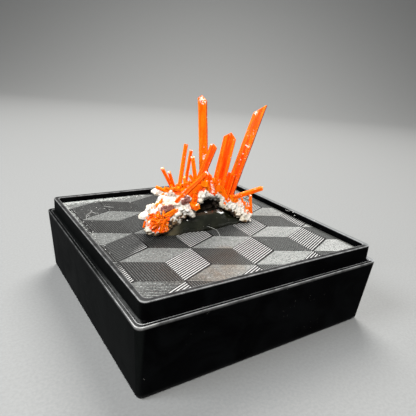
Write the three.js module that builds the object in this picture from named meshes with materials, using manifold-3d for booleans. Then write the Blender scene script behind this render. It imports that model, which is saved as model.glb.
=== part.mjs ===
// Crocoite on matrix, set on putty in the black base of a small display box.
// Millimetres, +Z up. The origin is the middle of the base's underside.
import * as THREE from "three";
import { ImprovedNoise } from "three/addons/math/ImprovedNoise.js";
import { mergeVertices } from "three/addons/utils/BufferGeometryUtils.js";
import Module from "manifold-3d";

const wasm = await Module();
wasm.setup();

// ---- driving dimensions ----
const gap = 0.3; // air between pieces that lie on or in each other

const base = {
  ledgeHalf: 22.5, // half width over the lid ledge, the widest place
  footHalf: 21.7, // half width at the bottom: the walls lean out a little
  footEdge: 0.6, // size of the slanted edge round the bottom
  ledgeZ: 12, // the lid's skirt rests at this height
  collarFootHalf: 21.5, // the lid's skirt slips over the collar
  collarTopHalf: 21.5,
  rimZ: 14.7,
  cornerRadius: 1.2,
  wellHalf: 19.7, // half width of the hollow under the panel
  recessHalf: 20.7, // half width inside the collar
  floorZ: 1.6,
  shoulderZ: 11.4, // the panel lies on this step
  innerCornerRadius: 0.8,
};

const panel = {
  half: base.recessHalf - gap,
  bottomZ: base.shoulderZ + gap,
  topZ: 13.7,
  cornerRadius: 0.6,
};

const puttyBottomZ = panel.topZ + gap;
const matrixBottomZ = puttyBottomZ + 0.15; // the rock hangs just clear of the panel at its two ends

// ---- finishes ----
const finish = (colour, roughness, metalness = 0) =>
  new THREE.MeshStandardMaterial({ color: colour, roughness, metalness });
const blackPlastic = finish(0x0b0b0c, 0.35);
const greyPrintedPanel = finish(0x8c8e90, 0.55);
const olivePutty = finish(0x2b2c20, 0.3);
const paleCrust = finish(0xe9e4d8, 0.85);
const crocoiteOrange = finish(0xf0500c, 0.25);
const crocoiteRed = finish(0xd8330a, 0.25);

// ---- solids ----
// A closed three.js geometry as a solid that can be joined and cut.
function solidOf(geometry) {
  const bare = geometry.clone();
  bare.deleteAttribute("normal");
  bare.deleteAttribute("uv");
  const merged = mergeVertices(bare);
  return new wasm.Manifold(
    new wasm.Mesh({
      numProp: 3,
      vertProperties: merged.attributes.position.array,
      triVerts: new Uint32Array(merged.index.array),
    }),
  );
}

function meshOf(name, solid, material) {
  const { vertProperties, triVerts } = solid.getMesh();
  const geometry = new THREE.BufferGeometry();
  geometry.setAttribute("position", new THREE.BufferAttribute(vertProperties, 3));
  geometry.setIndex(new THREE.BufferAttribute(triVerts, 1));
  const mesh = new THREE.Mesh(geometry.toNonIndexed(), material);
  mesh.geometry.computeVertexNormals();
  mesh.name = name;
  return mesh;
}

const joined = (solids) => solids.reduce((sum, next) => sum.add(next));

// The body itself, without the crumbs that a cut leaves loose beside it.
function largestBody(solid) {
  const bodies = solid.decompose();
  return bodies.reduce((largest, next) => (next.volume() > largest.volume() ? next : largest));
}

// A square block with round upright corners whose walls lean from one half width to another.
function roundedBlock(halfLow, halfHigh, cornerRadius, lowZ, highZ) {
  const straight = halfHigh - cornerRadius;
  const outline = new THREE.Shape();
  for (let corner = 0; corner < 4; corner += 1) {
    const turn = (corner * Math.PI) / 2;
    const x = straight * Math.SQRT2 * Math.cos(turn + Math.PI / 4);
    const y = straight * Math.SQRT2 * Math.sin(turn + Math.PI / 4);
    outline.absarc(x, y, cornerRadius, turn, turn + Math.PI / 2);
  }
  const geometry = new THREE.ExtrudeGeometry(outline, {
    depth: highZ - lowZ,
    bevelEnabled: false,
    curveSegments: 2,
  });
  geometry.translate(0, 0, lowZ);
  const place = geometry.attributes.position;
  for (let i = 0; i < place.count; i += 1) {
    const rise = (place.getZ(i) - lowZ) / (highZ - lowZ);
    const scale = THREE.MathUtils.lerp(halfLow, halfHigh, rise) / halfHigh;
    place.setXY(i, place.getX(i) * scale, place.getY(i) * scale);
  }
  return solidOf(geometry);
}

// ---- the display base ----
function boxBase() {
  const cut = 1; // how far a cutting block runs past what it cuts
  const foot = roundedBlock(
    base.footHalf - base.footEdge,
    base.footHalf,
    base.cornerRadius,
    0,
    base.footEdge,
  );
  const wall = roundedBlock(
    base.footHalf,
    base.ledgeHalf,
    base.cornerRadius,
    base.footEdge,
    base.ledgeZ,
  );
  const collar = roundedBlock(
    base.collarFootHalf,
    base.collarTopHalf,
    base.cornerRadius,
    base.ledgeZ,
    base.rimZ,
  );
  const well = roundedBlock(
    base.wellHalf,
    base.wellHalf,
    base.innerCornerRadius,
    base.floorZ,
    base.shoulderZ + cut,
  );
  const recess = roundedBlock(
    base.recessHalf,
    base.recessHalf,
    base.innerCornerRadius,
    base.shoulderZ,
    base.rimZ + cut,
  );
  return joined([foot, wall, collar]).subtract(well).subtract(recess);
}

const patternPanel = () =>
  roundedBlock(panel.half, panel.half, panel.cornerRadius, panel.bottomZ, panel.topZ);

// ---- rock and putty ----
const noise = new ImprovedNoise();

// A knobbly lump about [x, y, z] with radius r, stretched along X, Y and Z where that is given.
function lump([x, y, z, r, stretch = [1, 1, 1]], roughness = 0.22, grow = 0) {
  const detail = r > 2.3 ? 2 : 1;
  const ball = new THREE.IcosahedronGeometry(1, detail);
  ball.deleteAttribute("normal");
  ball.deleteAttribute("uv");
  const geometry = mergeVertices(ball);
  const place = geometry.attributes.position;
  const way = new THREE.Vector3();
  const waves = 1.7; // bumps along the radius of a lump
  for (let i = 0; i < place.count; i += 1) {
    way.fromBufferAttribute(place, i);
    const bump = noise.noise(way.x * waves + x, way.y * waves + y, way.z * waves + z);
    const reach = r * (1 + roughness * 2 * bump) + grow;
    place.setXYZ(
      i,
      x + way.x * reach * stretch[0],
      y + way.y * reach * stretch[1],
      z + way.z * reach * stretch[2],
    );
  }
  return solidOf(geometry);
}

// A block far wider than the specimen that fills everything below a height.
function everythingBelow(z) {
  const size = 60;
  return solidOf(new THREE.BoxGeometry(size, size, size).translate(0, 0, z - size / 2));
}

// [x, y, z, radius, stretch] of the lumps that the rock is grown from
const leftLobe = [
  [-11.6, -1.0, 17.3, 1.4],
  [-10.3, -1.5, 16.0, 2.1],
  [-8.6, -1.6, 17.0, 1.8],
  [-9.4, 0.0, 17.6, 1.8],
  [-7.5, -0.7, 17.9, 1.7],
  [-9.0, 1.9, 16.5, 2.2],
];
const ridge = [
  [-5.6, -1.3, 18.3, 1.7],
  [-4.1, -2.0, 17.1, 1.3],
];
const shelf = [
  [-8.4, 1.8, 20.3, 1.0],
  [-7.0, 2.0, 19.9, 1.3],
  [-4.8, 2.1, 19.0, 2.0],
  [-5.6, 0.4, 18.8, 1.6],
];
const middle = [
  [-2.4, 0.5, 18.5, 2.5],
  [1.2, 1.4, 18.6, 2.6],
  [-0.8, -1.2, 20.0, 1.35],
  [-1.4, -1.8, 18.9, 1.1],
  [0.8, -1.0, 19.2, 1.2],
  [2.9, -0.8, 18.9, 1.3],
  [2.9, -1.6, 17.6, 0.95],
  [4.9, 1.3, 18.1, 2.2],
];
const rightSlope = [
  [5.3, -0.9, 17.4, 1.3],
  [7.3, -1.1, 16.2, 1.3],
  [9.2, -1.3, 15.1, 1.0],
  [10.4, -1.4, 14.7, 0.7],
  [7.9, 1.1, 16.6, 1.9],
  [10.1, 0.1, 15.5, 1.3],
];
const back = [
  [3.4, 3.3, 16.9, 2.5],
  [-0.9, 3.1, 17.0, 2.5],
  [-5.2, 3.1, 17.2, 2.4],
  [6.9, 3.2, 16.3, 1.9],
];
const rockLumps = [...leftLobe, ...ridge, ...shelf, ...middle, ...rightSlope, ...back];

// [x, y, z, radius, stretch] of hollows in the rock: under the arch, under the ridge, by the toe
const rockHollows = [
  [1.1, -1.7, 17.3, 1.8, [1.7, 1.5, 0.75]],
  [-5.2, -3.0, 16.6, 0.8, [1, 1.2, 0.8]],
  [6.3, -2.4, 15.3, 1.2, [1.6, 1, 0.6]],
];
const puttyDent = [1.1, -0.3, 17.7, 1.6, [1.8, 1.3, 0.85]]; // the putty's top sinks under the arch

// [x, y, z, radius, stretch] of the mounds that the putty was pressed from
const puttyMounds = [
  [0.2, 0.9, 13.8, 4.0, [2.05, 1, 0.95]],
  [-6.0, 0.6, 13.8, 3.5, [1.2, 1, 0.9]],
  [6.2, 0.9, 13.8, 3.3, [1.2, 1, 0.7]],
];

// ---- crystals ----
// A crystal is a four-sided prism from its foot to its tip. across and thick are the sizes of its
// section, turn is the section's angle about the crystal's length in degrees, counted from +X, and
// each end face is [compass angle, slope, drop]: the way that it faces, in degrees, its tilt from
// the square cut, and how far below the tip it meets the crystal's axis.
function prism({ foot, tip, across, thick = across, turn = 0, ends = [] }, grow = 0) {
  const start = new THREE.Vector3(...foot);
  const end = new THREE.Vector3(...tip);
  const length = start.distanceTo(end);
  const corner = Math.min(across, thick) * 0.16; // the narrow side faces between the broad ones
  const halfAcross = across / 2 + grow;
  const halfThick = thick / 2 + grow;
  const section = new THREE.Shape([
    new THREE.Vector2(halfAcross, -halfThick),
    new THREE.Vector2(halfAcross, halfThick - corner),
    new THREE.Vector2(halfAcross - corner, halfThick),
    new THREE.Vector2(-halfAcross, halfThick),
    new THREE.Vector2(-halfAcross, corner - halfThick),
    new THREE.Vector2(corner - halfAcross, -halfThick),
  ]);
  const bar = new THREE.ExtrudeGeometry(section, { depth: length + 2 * grow, bevelEnabled: false });
  bar.translate(0, 0, -grow);
  let solid = solidOf(bar);
  for (const [compass, slope, drop] of ends) {
    const side = 12; // more than any crystal is wide
    const cutter = new THREE.BoxGeometry(side, side, side)
      .translate(0, 0, side / 2)
      .rotateY(THREE.MathUtils.degToRad(slope))
      .rotateZ(THREE.MathUtils.degToRad(compass - turn))
      .translate(0, 0, length - drop);
    solid = solid.subtract(solidOf(cutter));
  }
  const lean = new THREE.Quaternion().setFromUnitVectors(
    new THREE.Vector3(0, 0, 1),
    end.clone().sub(start).normalize(),
  );
  const spin = new THREE.Quaternion().setFromAxisAngle(
    new THREE.Vector3(0, 0, 1),
    THREE.MathUtils.degToRad(turn),
  );
  const place = new THREE.Matrix4().compose(start, lean.multiply(spin), new THREE.Vector3(1, 1, 1));
  return solid.transform(place.elements);
}

const frontTurn = -34; // the turn that shows a prism's broad face square to the front corner
const square = (drop = 0) => [[0, 3, drop]];

// The large crystals, each a piece or a group of grown-together pieces: name, finish and prisms.
const crystals = [
  {
    name: "crystal_tall_left",
    material: crocoiteOrange,
    prisms: [
      {
        foot: [1.6, 1.9, 18.4],
        tip: [0.4, 3.2, 37.0],
        across: 1.5,
        thick: 1.3,
        turn: frontTurn - 12,
        ends: [
          [frontTurn + 180, 30, 0.1],
          [frontTurn, 48, 0.25],
        ],
      },
    ],
  },
  {
    name: "crystal_broad",
    material: crocoiteRed,
    prisms: [
      {
        foot: [2.3, -0.4, 17.9],
        tip: [5.5, 0.6, 30.7],
        across: 1.85,
        thick: 1.65,
        turn: frontTurn - 34,
        ends: [
          [frontTurn + 180, 40, 0.15],
          [frontTurn, 52, 0.3],
          [frontTurn - 90, 35, 0.3],
          [frontTurn + 90, 40, 0.4],
        ],
      },
    ],
  },
  {
    name: "crystal_tall_right",
    material: crocoiteOrange,
    prisms: [
      {
        foot: [6.2, 1.1, 17.4],
        tip: [13.7, 2.6, 35.7],
        across: 1.9,
        thick: 1.5,
        turn: frontTurn - 14,
        ends: [[frontTurn + 180, 50, 1.1]],
      },
      {
        foot: [5.1, 0.5, 17.4],
        tip: [6.9, 0.85, 23.0],
        across: 1.5,
        thick: 1.4,
        turn: frontTurn - 20,
        ends: square(0.2),
      },
    ],
  },
  {
    name: "crystal_short_middle",
    material: crocoiteRed,
    prisms: [
      {
        foot: [-2.6, -0.6, 19.5],
        tip: [1.5, -0.3, 28.9],
        across: 1.25,
        thick: 1.1,
        turn: frontTurn - 12,
        ends: [
          [frontTurn + 180, 20, 0.1],
          [frontTurn, 30, 0.2],
        ],
      },
    ],
  },
  {
    name: "crystal_diagonal",
    material: crocoiteRed,
    prisms: [
      {
        foot: [-6.9, -2.2, 19.5],
        tip: [-1.1, -2.1, 24.3],
        across: 1.05,
        thick: 1.05,
        turn: frontTurn + 40,
        ends: square(0.1),
      },
    ],
  },
  {
    name: "crystal_back_left_1",
    material: crocoiteOrange,
    prisms: [
      {
        foot: [-4.0, 2.2, 18.6],
        tip: [-2.3, 3.2, 28.3],
        across: 0.68,
        thick: 0.6,
        turn: frontTurn - 10,
        ends: square(),
      },
    ],
  },
  {
    name: "crystal_back_left_2",
    material: crocoiteOrange,
    prisms: [
      {
        foot: [-3.1, 1.9, 18.6],
        tip: [-1.7, 2.3, 27.4],
        across: 0.58,
        thick: 0.5,
        turn: frontTurn + 10,
        ends: square(),
      },
    ],
  },
  {
    name: "crystal_back_left_3",
    material: crocoiteOrange,
    prisms: [
      {
        foot: [-0.5, 1.2, 19.6],
        tip: [-2.0, 1.2, 26.4],
        across: 0.7,
        thick: 0.6,
        turn: frontTurn,
        ends: square(),
      },
    ],
  },
  {
    name: "crystal_pair_left",
    material: crocoiteOrange,
    prisms: [
      {
        foot: [-4.6, 3.4, 18.9],
        tip: [-7.3, 2.4, 24.4],
        across: 0.5,
        thick: 0.42,
        turn: frontTurn,
        ends: square(),
      },
      {
        foot: [-4.4, 3.2, 18.8],
        tip: [-6.1, 2.2, 23.7],
        across: 0.5,
        thick: 0.42,
        turn: frontTurn - 10,
        ends: square(),
      },
    ],
  },
  {
    name: "crystal_low_right",
    material: crocoiteOrange,
    prisms: [
      {
        foot: [5.7, -0.9, 18.5],
        tip: [14.8, 1.0, 19.1],
        across: 0.78,
        thick: 0.65,
        turn: 10,
        ends: square(),
      },
    ],
  },
  {
    name: "crystal_pair_right",
    material: crocoiteOrange,
    prisms: [
      {
        foot: [11.1, -0.9, 14.7],
        tip: [10.5, -0.8, 18.6],
        across: 0.55,
        thick: 0.5,
        turn: frontTurn,
        ends: square(),
      },
      {
        foot: [10.9, -1.1, 14.7],
        tip: [9.5, -1.4, 17.4],
        across: 0.55,
        thick: 0.5,
        turn: frontTurn,
        ends: square(),
      },
    ],
  },
  {
    name: "crystal_crossing",
    material: crocoiteOrange,
    prisms: [
      {
        foot: [4.4, -1.5, 18.9],
        tip: [2.0, -1.9, 21.5],
        across: 0.85,
        thick: 0.75,
        turn: frontTurn + 45,
        ends: square(),
      },
    ],
  },
  {
    name: "crystal_block",
    material: crocoiteRed,
    prisms: [
      {
        foot: [-3.9, -1.1, 18.7],
        tip: [-3.6, -4.1, 18.9],
        across: 1.15,
        thick: 1.05,
        turn: 20,
        ends: square(),
      },
    ],
  },
  {
    name: "crystal_wedge",
    material: crocoiteOrange,
    prisms: [
      {
        foot: [1.0, -1.8, 19.9],
        tip: [-0.5, -1.8, 24.4],
        across: 0.85,
        thick: 0.7,
        turn: frontTurn,
        ends: [[frontTurn, 55, 0.2]],
      },
    ],
  },
];

// The small crystals that are one with the rock: [foot, tip, size across].
const smallCrystals = [
  // red cluster under the diagonal crystal
  [[-0.5, -1.6, 21.7], [-3.7, -2.4, 19.0], 1.5],
  [[-0.9, -1.2, 20.4], [-0.5, -1.2, 22.7], 1.2],
  [[-2.9, 1.7, 20.0], [-4.2, 1.6, 22.6], 0.6],
  // upright ones between the short middle and the broad crystals
  [[0.4, -2.0, 19.6], [0.5, -2.0, 22.0], 0.9],
  [[2.2, -1.9, 19.4], [1.5, -2.0, 21.6], 0.8],
  // orange mass at the low right crystal's foot
  [[5.7, -0.8, 17.9], [6.9, -1.1, 18.6], 1.2],
  [[9.0, 0.6, 16.0], [8.6, 0.6, 17.7], 0.8],
  [[5.0, -1.5, 17.9], [3.5, -2.2, 18.2], 0.7],
  // needles on the shelf
  [[-7.2, 1.5, 20.2], [-8.7, 1.3, 21.7], 0.5],
  [[-6.2, 1.2, 19.9], [-8.2, 0.9, 21.2], 0.5],
  [[-5.3, 1.3, 20.2], [-6.8, 1.2, 21.2], 0.5],
  [[-8.6, -0.5, 18.6], [-8.5, -0.4, 20.0], 0.7],
  [[-9.5, -0.9, 18.1], [-10.1, -0.8, 19.5], 0.7],
  // jumble on the left lobe
  [[-9.3, -2.9, 16.8], [-6.7, -2.7, 18.0], 1.1],
  [[-11.9, -2.6, 17.1], [-9.8, -3.5, 16.5], 1.1],
  [[-11.2, -2.4, 16.9], [-12.0, -2.5, 18.4], 0.8],
  [[-11.0, -3.2, 17.0], [-10.6, -3.7, 15.2], 1.0],
  [[-9.8, -3.2, 16.8], [-10.1, -3.6, 15.4], 0.9],
  [[-11.8, -1.8, 16.4], [-13.3, -2.6, 15.7], 0.8],
  [[-10.2, -2.4, 17.5], [-11.1, -2.4, 18.9], 0.7],
  [[-10.4, -1.4, 18.0], [-11.3, -1.2, 19.6], 0.5],
  // needles on the right slope
  [[9.8, 0.0, 15.9], [9.2, 0.2, 18.0], 0.5],
  [[10.0, -0.6, 15.3], [9.3, -0.5, 17.1], 0.5],
  [[9.6, -1.5, 15.0], [8.8, -1.7, 16.5], 0.55],
  // the back
  [[-6.4, 3.6, 17.4], [-7.4, 5.6, 19.0], 0.7],
  [[-2.0, 4.4, 17.6], [-2.6, 6.2, 19.4], 0.8],
  [[1.4, 4.2, 18.0], [1.8, 5.4, 20.6], 0.7],
  [[4.6, 4.4, 17.6], [5.4, 6.0, 19.0], 0.9],
  [[7.4, 3.8, 17.0], [8.6, 5.2, 18.2], 0.6],
  [[2.9, 3.6, 18.4], [3.4, 3.9, 21.0], 0.6],
];
const smallTurn = 25;

// ---- assembly ----
const crystalSolids = crystals.map(({ prisms }) => joined(prisms.map((one) => prism(one))));
const sockets = crystals.flatMap(({ prisms }) => prisms.map((one) => prism(one, gap)));

const rough = { rock: 0.22, putty: 0.08 };
const rockBody = joined(rockLumps.map((one) => lump(one, rough.rock)));
const rockSpace = joined(rockLumps.map((one) => lump(one, rough.rock, gap)));
const hollows = joined(rockHollows.map((one) => lump(one, rough.rock)));
const tinyCrystals = joined(
  smallCrystals.map(([foot, tip, across], i) =>
    prism({ foot, tip, across, thick: across * 0.8, turn: smallTurn * i, ends: square() }),
  ),
);
const matrix = largestBody(
  rockBody
    .subtract(hollows)
    .add(tinyCrystals)
    .subtract(joined(sockets))
    .subtract(everythingBelow(matrixBottomZ)),
);

const putty = largestBody(
  joined(puttyMounds.map((one) => lump(one, rough.putty)))
    .subtract(rockSpace)
    .subtract(lump(puttyDent, rough.putty))
    .subtract(everythingBelow(puttyBottomZ)),
);

const crocoiteOnMatrix = new THREE.Group();
crocoiteOnMatrix.name = "crocoite_on_matrix";
crocoiteOnMatrix.add(
  meshOf("box_base", boxBase(), blackPlastic),
  meshOf("pattern_panel", patternPanel(), greyPrintedPanel),
  meshOf("mounting_putty", putty, olivePutty),
  meshOf("matrix", matrix, paleCrust),
);
crystals.forEach(({ name, material }, i) => {
  crocoiteOnMatrix.add(meshOf(name, crystalSolids[i], material));
});

export default crocoiteOnMatrix;
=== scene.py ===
import bpy
import bmesh
import math
import random
from mathutils import Matrix, Quaternion, Vector, noise
from mathutils.bvhtree import BVHTree


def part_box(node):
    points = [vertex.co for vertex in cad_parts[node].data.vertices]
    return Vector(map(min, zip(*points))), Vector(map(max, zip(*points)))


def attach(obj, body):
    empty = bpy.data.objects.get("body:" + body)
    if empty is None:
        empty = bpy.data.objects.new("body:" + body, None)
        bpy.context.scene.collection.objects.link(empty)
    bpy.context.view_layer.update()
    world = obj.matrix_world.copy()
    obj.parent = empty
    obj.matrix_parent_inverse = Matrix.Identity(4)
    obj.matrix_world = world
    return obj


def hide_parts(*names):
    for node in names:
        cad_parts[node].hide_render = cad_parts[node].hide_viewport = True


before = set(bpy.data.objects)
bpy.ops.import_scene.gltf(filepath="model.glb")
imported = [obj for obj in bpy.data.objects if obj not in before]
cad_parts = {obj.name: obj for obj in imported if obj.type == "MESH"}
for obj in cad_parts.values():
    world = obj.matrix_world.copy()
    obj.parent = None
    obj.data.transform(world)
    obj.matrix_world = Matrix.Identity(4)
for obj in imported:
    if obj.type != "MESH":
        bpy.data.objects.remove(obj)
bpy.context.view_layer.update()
mm = 0.001
perMm = 1000.0           # texture scales are worked out in features a millimetre
print("frame loaded:", len(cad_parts), "nodes")

# every size below is in millimetres unless it says otherwise; meshes are scaled to metres when finished


def nodeBox(name):
    low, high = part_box(name)
    return low / mm, high / mm


baseHigh = nodeBox("box_base")[1]
panelLow, panelHigh = nodeBox("pattern_panel")
rockLow = nodeBox("matrix")[0]


def finished(bm, name, materials, smooth=None):      # an object in metres, shaded smooth up to an angle
    bmesh.ops.scale(bm, vec=(mm, mm, mm), verts=bm.verts)
    mesh = bpy.data.meshes.new(name)
    bm.to_mesh(mesh)
    bm.free()
    for material in materials:
        mesh.materials.append(material)
    if smooth is not None:
        mesh.shade_smooth()
        mesh.set_sharp_from_angle(angle=math.radians(smooth))
    piece = bpy.data.objects.new(name, mesh)
    bpy.context.scene.collection.objects.link(piece)
    return piece


def pieceFrom(bm, name, materials, slot, replaces=(), smooth=None):
    piece = finished(bm, name, materials, smooth)
    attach(piece, "root")
    if replaces:
        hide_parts(*replaces)
    print("made", name, len(piece.data.polygons), "faces")
    return piece


def addTo(bm, part, matrix=None):
    if matrix is not None:
        bmesh.ops.transform(part, matrix=matrix, verts=part.verts)
    scratch = bpy.data.meshes.new("scratch")
    part.to_mesh(scratch)
    part.free()
    bm.from_mesh(scratch)
    bpy.data.meshes.remove(scratch)


def scratchFrom(bm):          # an object that is there only for its modifiers
    mesh = bpy.data.meshes.new("scratch")
    bm.to_mesh(mesh)
    bm.free()
    body = bpy.data.objects.new("scratch", mesh)
    bpy.context.scene.collection.objects.link(body)
    return body


def modified(body, *others):      # what the modifiers make of a scratch object, as a new bmesh
    result = bmesh.new()
    result.from_object(body, bpy.context.evaluated_depsgraph_get())
    for item in (body, *others):
        mesh = item.data
        bpy.data.objects.remove(item)
        bpy.data.meshes.remove(mesh)
    return result


def remeshed(bm, voxel):      # one closed skin round everything in bm
    body = scratchFrom(bm)
    skin = body.modifiers.new("skin", "REMESH")
    skin.mode = "VOXEL"
    skin.voxel_size = voxel
    skin.adaptivity = 0
    return modified(body)


def ellipsoids(shapes, subdivisions):
    bm = bmesh.new()
    for x, y, z, radius, stretch in shapes:
        part = bmesh.new()
        bmesh.ops.create_icosphere(part, subdivisions=subdivisions, radius=radius)
        addTo(bm, part, Matrix.Translation((x, y, z)) @ Matrix.Diagonal((*stretch, 1)))
    return bm


def hollowed(bm, hollows):    # takes the ellipsoids out of the skin
    body = scratchFrom(bm)
    cutters = [scratchFrom(ellipsoids([hollow], 3)) for hollow in hollows]
    for cutter in cutters:
        cut = body.modifiers.new("cut", "BOOLEAN")
        cut.operation = "DIFFERENCE"
        cut.solver = "EXACT"
        cut.object = cutter
    return modified(body, *cutters)


def relaxed(bm, verts, times=1):
    for _ in range(times):
        bmesh.ops.smooth_vert(bm, verts=verts, factor=0.5, use_axis_x=True, use_axis_y=True, use_axis_z=True)


def cutAway(bm, place, facing, dist=1e-5):      # drops what is in front of a plane, gives what lies in it
    return bmesh.ops.bisect_plane(
        bm, geom=bm.verts[:] + bm.edges[:] + bm.faces[:], dist=dist, plane_co=place, plane_no=facing,
        clear_outer=True)["geom_cut"]


def bevelled(bm, geom, offset, segments, affect="EDGES"):
    bmesh.ops.bevel(bm, geom=geom, offset=offset, offset_type="OFFSET", segments=segments, profile=0.5,
                    affect=affect, material=-1)


def blockOn(bm, size, z):     # a block that stands at height z
    bmesh.ops.create_cube(bm, size=1)
    bmesh.ops.scale(bm, vec=size, verts=bm.verts)
    bmesh.ops.translate(bm, vec=(0, 0, z + size[2] / 2), verts=bm.verts)


def uprightEdges(bm, least):
    return [e for e in bm.edges if abs(e.verts[0].co.z - e.verts[1].co.z) > least]


def sortOut(geometry, kind):
    return [item for item in geometry if isinstance(item, kind)]


def extruded(bm, ring):       # the new points and the new edges of a ring of edges
    grown = bmesh.ops.extrude_edge_only(bm, edges=ring)["geom"]
    return sortOut(grown, bmesh.types.BMVert), sortOut(grown, bmesh.types.BMEdge)


def leaned(foot, tip):        # the turn from upright to the line from foot to tip
    return Vector((0, 0, 1)).rotation_difference((tip - foot).normalized())


def shade(tone, share):
    return tuple(c * share for c in tone)


class Maker:                  # a material and the nodes that are being added to it
    def __init__(self, name):
        self.material = bpy.data.materials.new(name)
        self.material.use_nodes = True
        self.nodes = self.material.node_tree.nodes
        self.links = self.material.node_tree.links
        self.shader = self.nodes["Principled BSDF"]
        self.place = self.nodes.new("ShaderNodeTexCoord").outputs["Object"]

    def link(self, source, target):
        self.links.new(source, target)

    def set(self, **values):
        for name, value in values.items():
            self.shader.inputs[name.replace("_", " ")].default_value = value

    def add(self, kind, vector=None, **values):
        node = self.nodes.new("ShaderNode" + kind)
        if vector is not None:
            self.link(vector, node.inputs["Vector"])
        for name, value in values.items():
            node.inputs[name.replace("_", " ")].default_value = value
        return node

    def attribute(self, name, output="Fac"):
        node = self.add("Attribute")
        node.attribute_name = name
        return node.outputs[output]

    def axis(self, name):
        return self.add("SeparateXYZ", self.place).outputs[name]

    def scaled(self, vector, scale):
        return self.add("Mapping", vector, Scale=scale).outputs["Vector"]

    # with a vector of its own a noise counts its features along that, otherwise in millimetres
    def noise(self, scale, detail, roughness, vector=None, distortion=0.0):
        node = self.add("TexNoise", vector or self.place, Scale=scale if vector else scale * perMm,
                        Detail=detail, Roughness=roughness, Distortion=distortion)
        return node.outputs["Fac"]

    def drawnOut(self, scales, detail, roughness):      # a noise that is stretched along an axis
        return self.noise(1.0, detail, roughness, self.scaled(self.place, [s * perMm for s in scales]))

    def pits(self, scale, edge, deep):      # small round spots, each 1 in its middle
        cells = self.add("TexVoronoi", self.place, Scale=scale * perMm)
        return self.between(cells.outputs["Distance"], edge, deep)

    def between(self, value, low, high, toLow=0.0, toHigh=1.0):
        node = self.add("MapRange", From_Min=low, From_Max=high, To_Min=toLow, To_Max=toHigh)
        node.interpolation_type = "SMOOTHSTEP"
        self.link(value, node.inputs["Value"])
        return node.outputs["Result"]

    def along(self, name, low, high, toLow=0.0, toHigh=1.0):
        return self.between(self.axis(name), low * mm, high * mm, toLow, toHigh)

    def maths(self, operation, *values):
        node = self.add("Math")
        node.operation = operation
        for i, value in enumerate(values):
            if isinstance(value, (int, float)):
                node.inputs[i].default_value = value
            else:
                self.link(value, node.inputs[i])
        return node.outputs["Value"]

    def plus(self, first, second):
        return self.maths("ADD", first, second)

    def times(self, product, *values):
        for value in values:
            product = self.maths("MULTIPLY", product, value)
        return product

    def mix(self, factor, first, second, blend="MIX"):
        node = self.add("Mix")
        node.data_type = "RGBA"
        node.blend_type = blend
        for socket, value in ((0, factor), (6, first), (7, second)):
            if isinstance(value, tuple):
                node.inputs[socket].default_value = (*value, 1)
            elif isinstance(value, (int, float)):
                node.inputs[socket].default_value = value
            else:
                self.link(value, node.inputs[socket])
        return node.outputs[2]

    def near(self, x, y, reach):      # 1 inside a round spot seen from above, 0 outside it
        dx = self.maths("SUBTRACT", self.axis("X"), x * mm)
        dy = self.maths("SUBTRACT", self.axis("Y"), y * mm)
        square = self.plus(self.times(dx, dx), self.times(dy, dy))
        return self.between(square, (reach * mm) ** 2, (reach * 0.3 * mm) ** 2)

    def bump(self, height, distance, strength):
        node = self.add("Bump", Distance=distance * mm, Strength=strength)
        self.link(height, node.inputs["Height"])
        self.link(node.outputs["Normal"], self.shader.inputs["Normal"])

    def colour(self, source):
        self.link(source, self.shader.inputs["Base Color"])

    def rough(self, source):
        self.link(source, self.shader.inputs["Roughness"])


camera = {"place": (-39.92, -61.41, 42.37), "yaw": 33.91, "pitch": 19.07, "roll": 4.64, "lens": 36.35}

lights = {                    # place, aim, size across in millimetres, watts, colour
    "keyLight": ((150, 230, 360), (0, 0, 12), 240, 4.0, (1.0, 0.985, 0.96)),
    "leftLight": ((-250, 20, 260), (0, 0, 14), 150, 1.5, (0.95, 0.97, 1.0)),
    "frontLight": ((-130, -230, 285), (0, 0, 18), 150, 2.45, (1.0, 0.99, 0.97)),
}

floorLook = {
    "width": 900, "bendAt": 330, "bendRadius": 160, "bend": 80, "steps": 16, "tone": (0.15, 0.153, 0.151),
    "worldTone": 0.17,
}


def makeCamera():
    yaw, pitch, roll = (math.radians(camera[k]) for k in ("yaw", "pitch", "roll"))
    forward = Vector((math.sin(yaw) * math.cos(pitch), math.cos(yaw) * math.cos(pitch), -math.sin(pitch)))
    level = Vector((math.cos(yaw), -math.sin(yaw), 0))
    lift = level.cross(forward)
    right = level * math.cos(roll) + lift * math.sin(roll)
    up = lift * math.cos(roll) - level * math.sin(roll)
    data = bpy.data.cameras.new("camera")
    data.lens = camera["lens"]
    data.sensor_width = 36
    data.clip_start = 0.002
    body = bpy.data.objects.new("camera", data)
    body.matrix_world = Matrix.LocRotScale(
        Vector(camera["place"]) * mm, Matrix((right, up, -forward)).transposed(), Vector((1, 1, 1)))
    bpy.context.scene.collection.objects.link(body)
    bpy.context.scene.camera = body


def makeLights():
    for name, (place, aim, size, watts, colour) in lights.items():
        data = bpy.data.lights.new(name, "AREA")
        data.shape = "DISK"
        data.size = size * mm
        data.energy = watts
        data.color = colour
        lamp = bpy.data.objects.new(name, data)
        lamp.location = Vector(place) * mm
        lamp.rotation_euler = (Vector(aim) - Vector(place)).to_track_quat("-Z", "Y").to_euler()
        bpy.context.scene.collection.objects.link(lamp)
    world = bpy.data.worlds.new("softRoom")
    world.use_nodes = True
    tone = floorLook["worldTone"]
    background = world.node_tree.nodes["Background"]
    background.inputs["Color"].default_value = (tone, tone, tone * 1.02, 1)
    background.inputs["Strength"].default_value = 1.0
    bpy.context.scene.world = world
    bpy.context.scene.view_settings.view_transform = "Standard"     # keeps the oranges saturated


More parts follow.
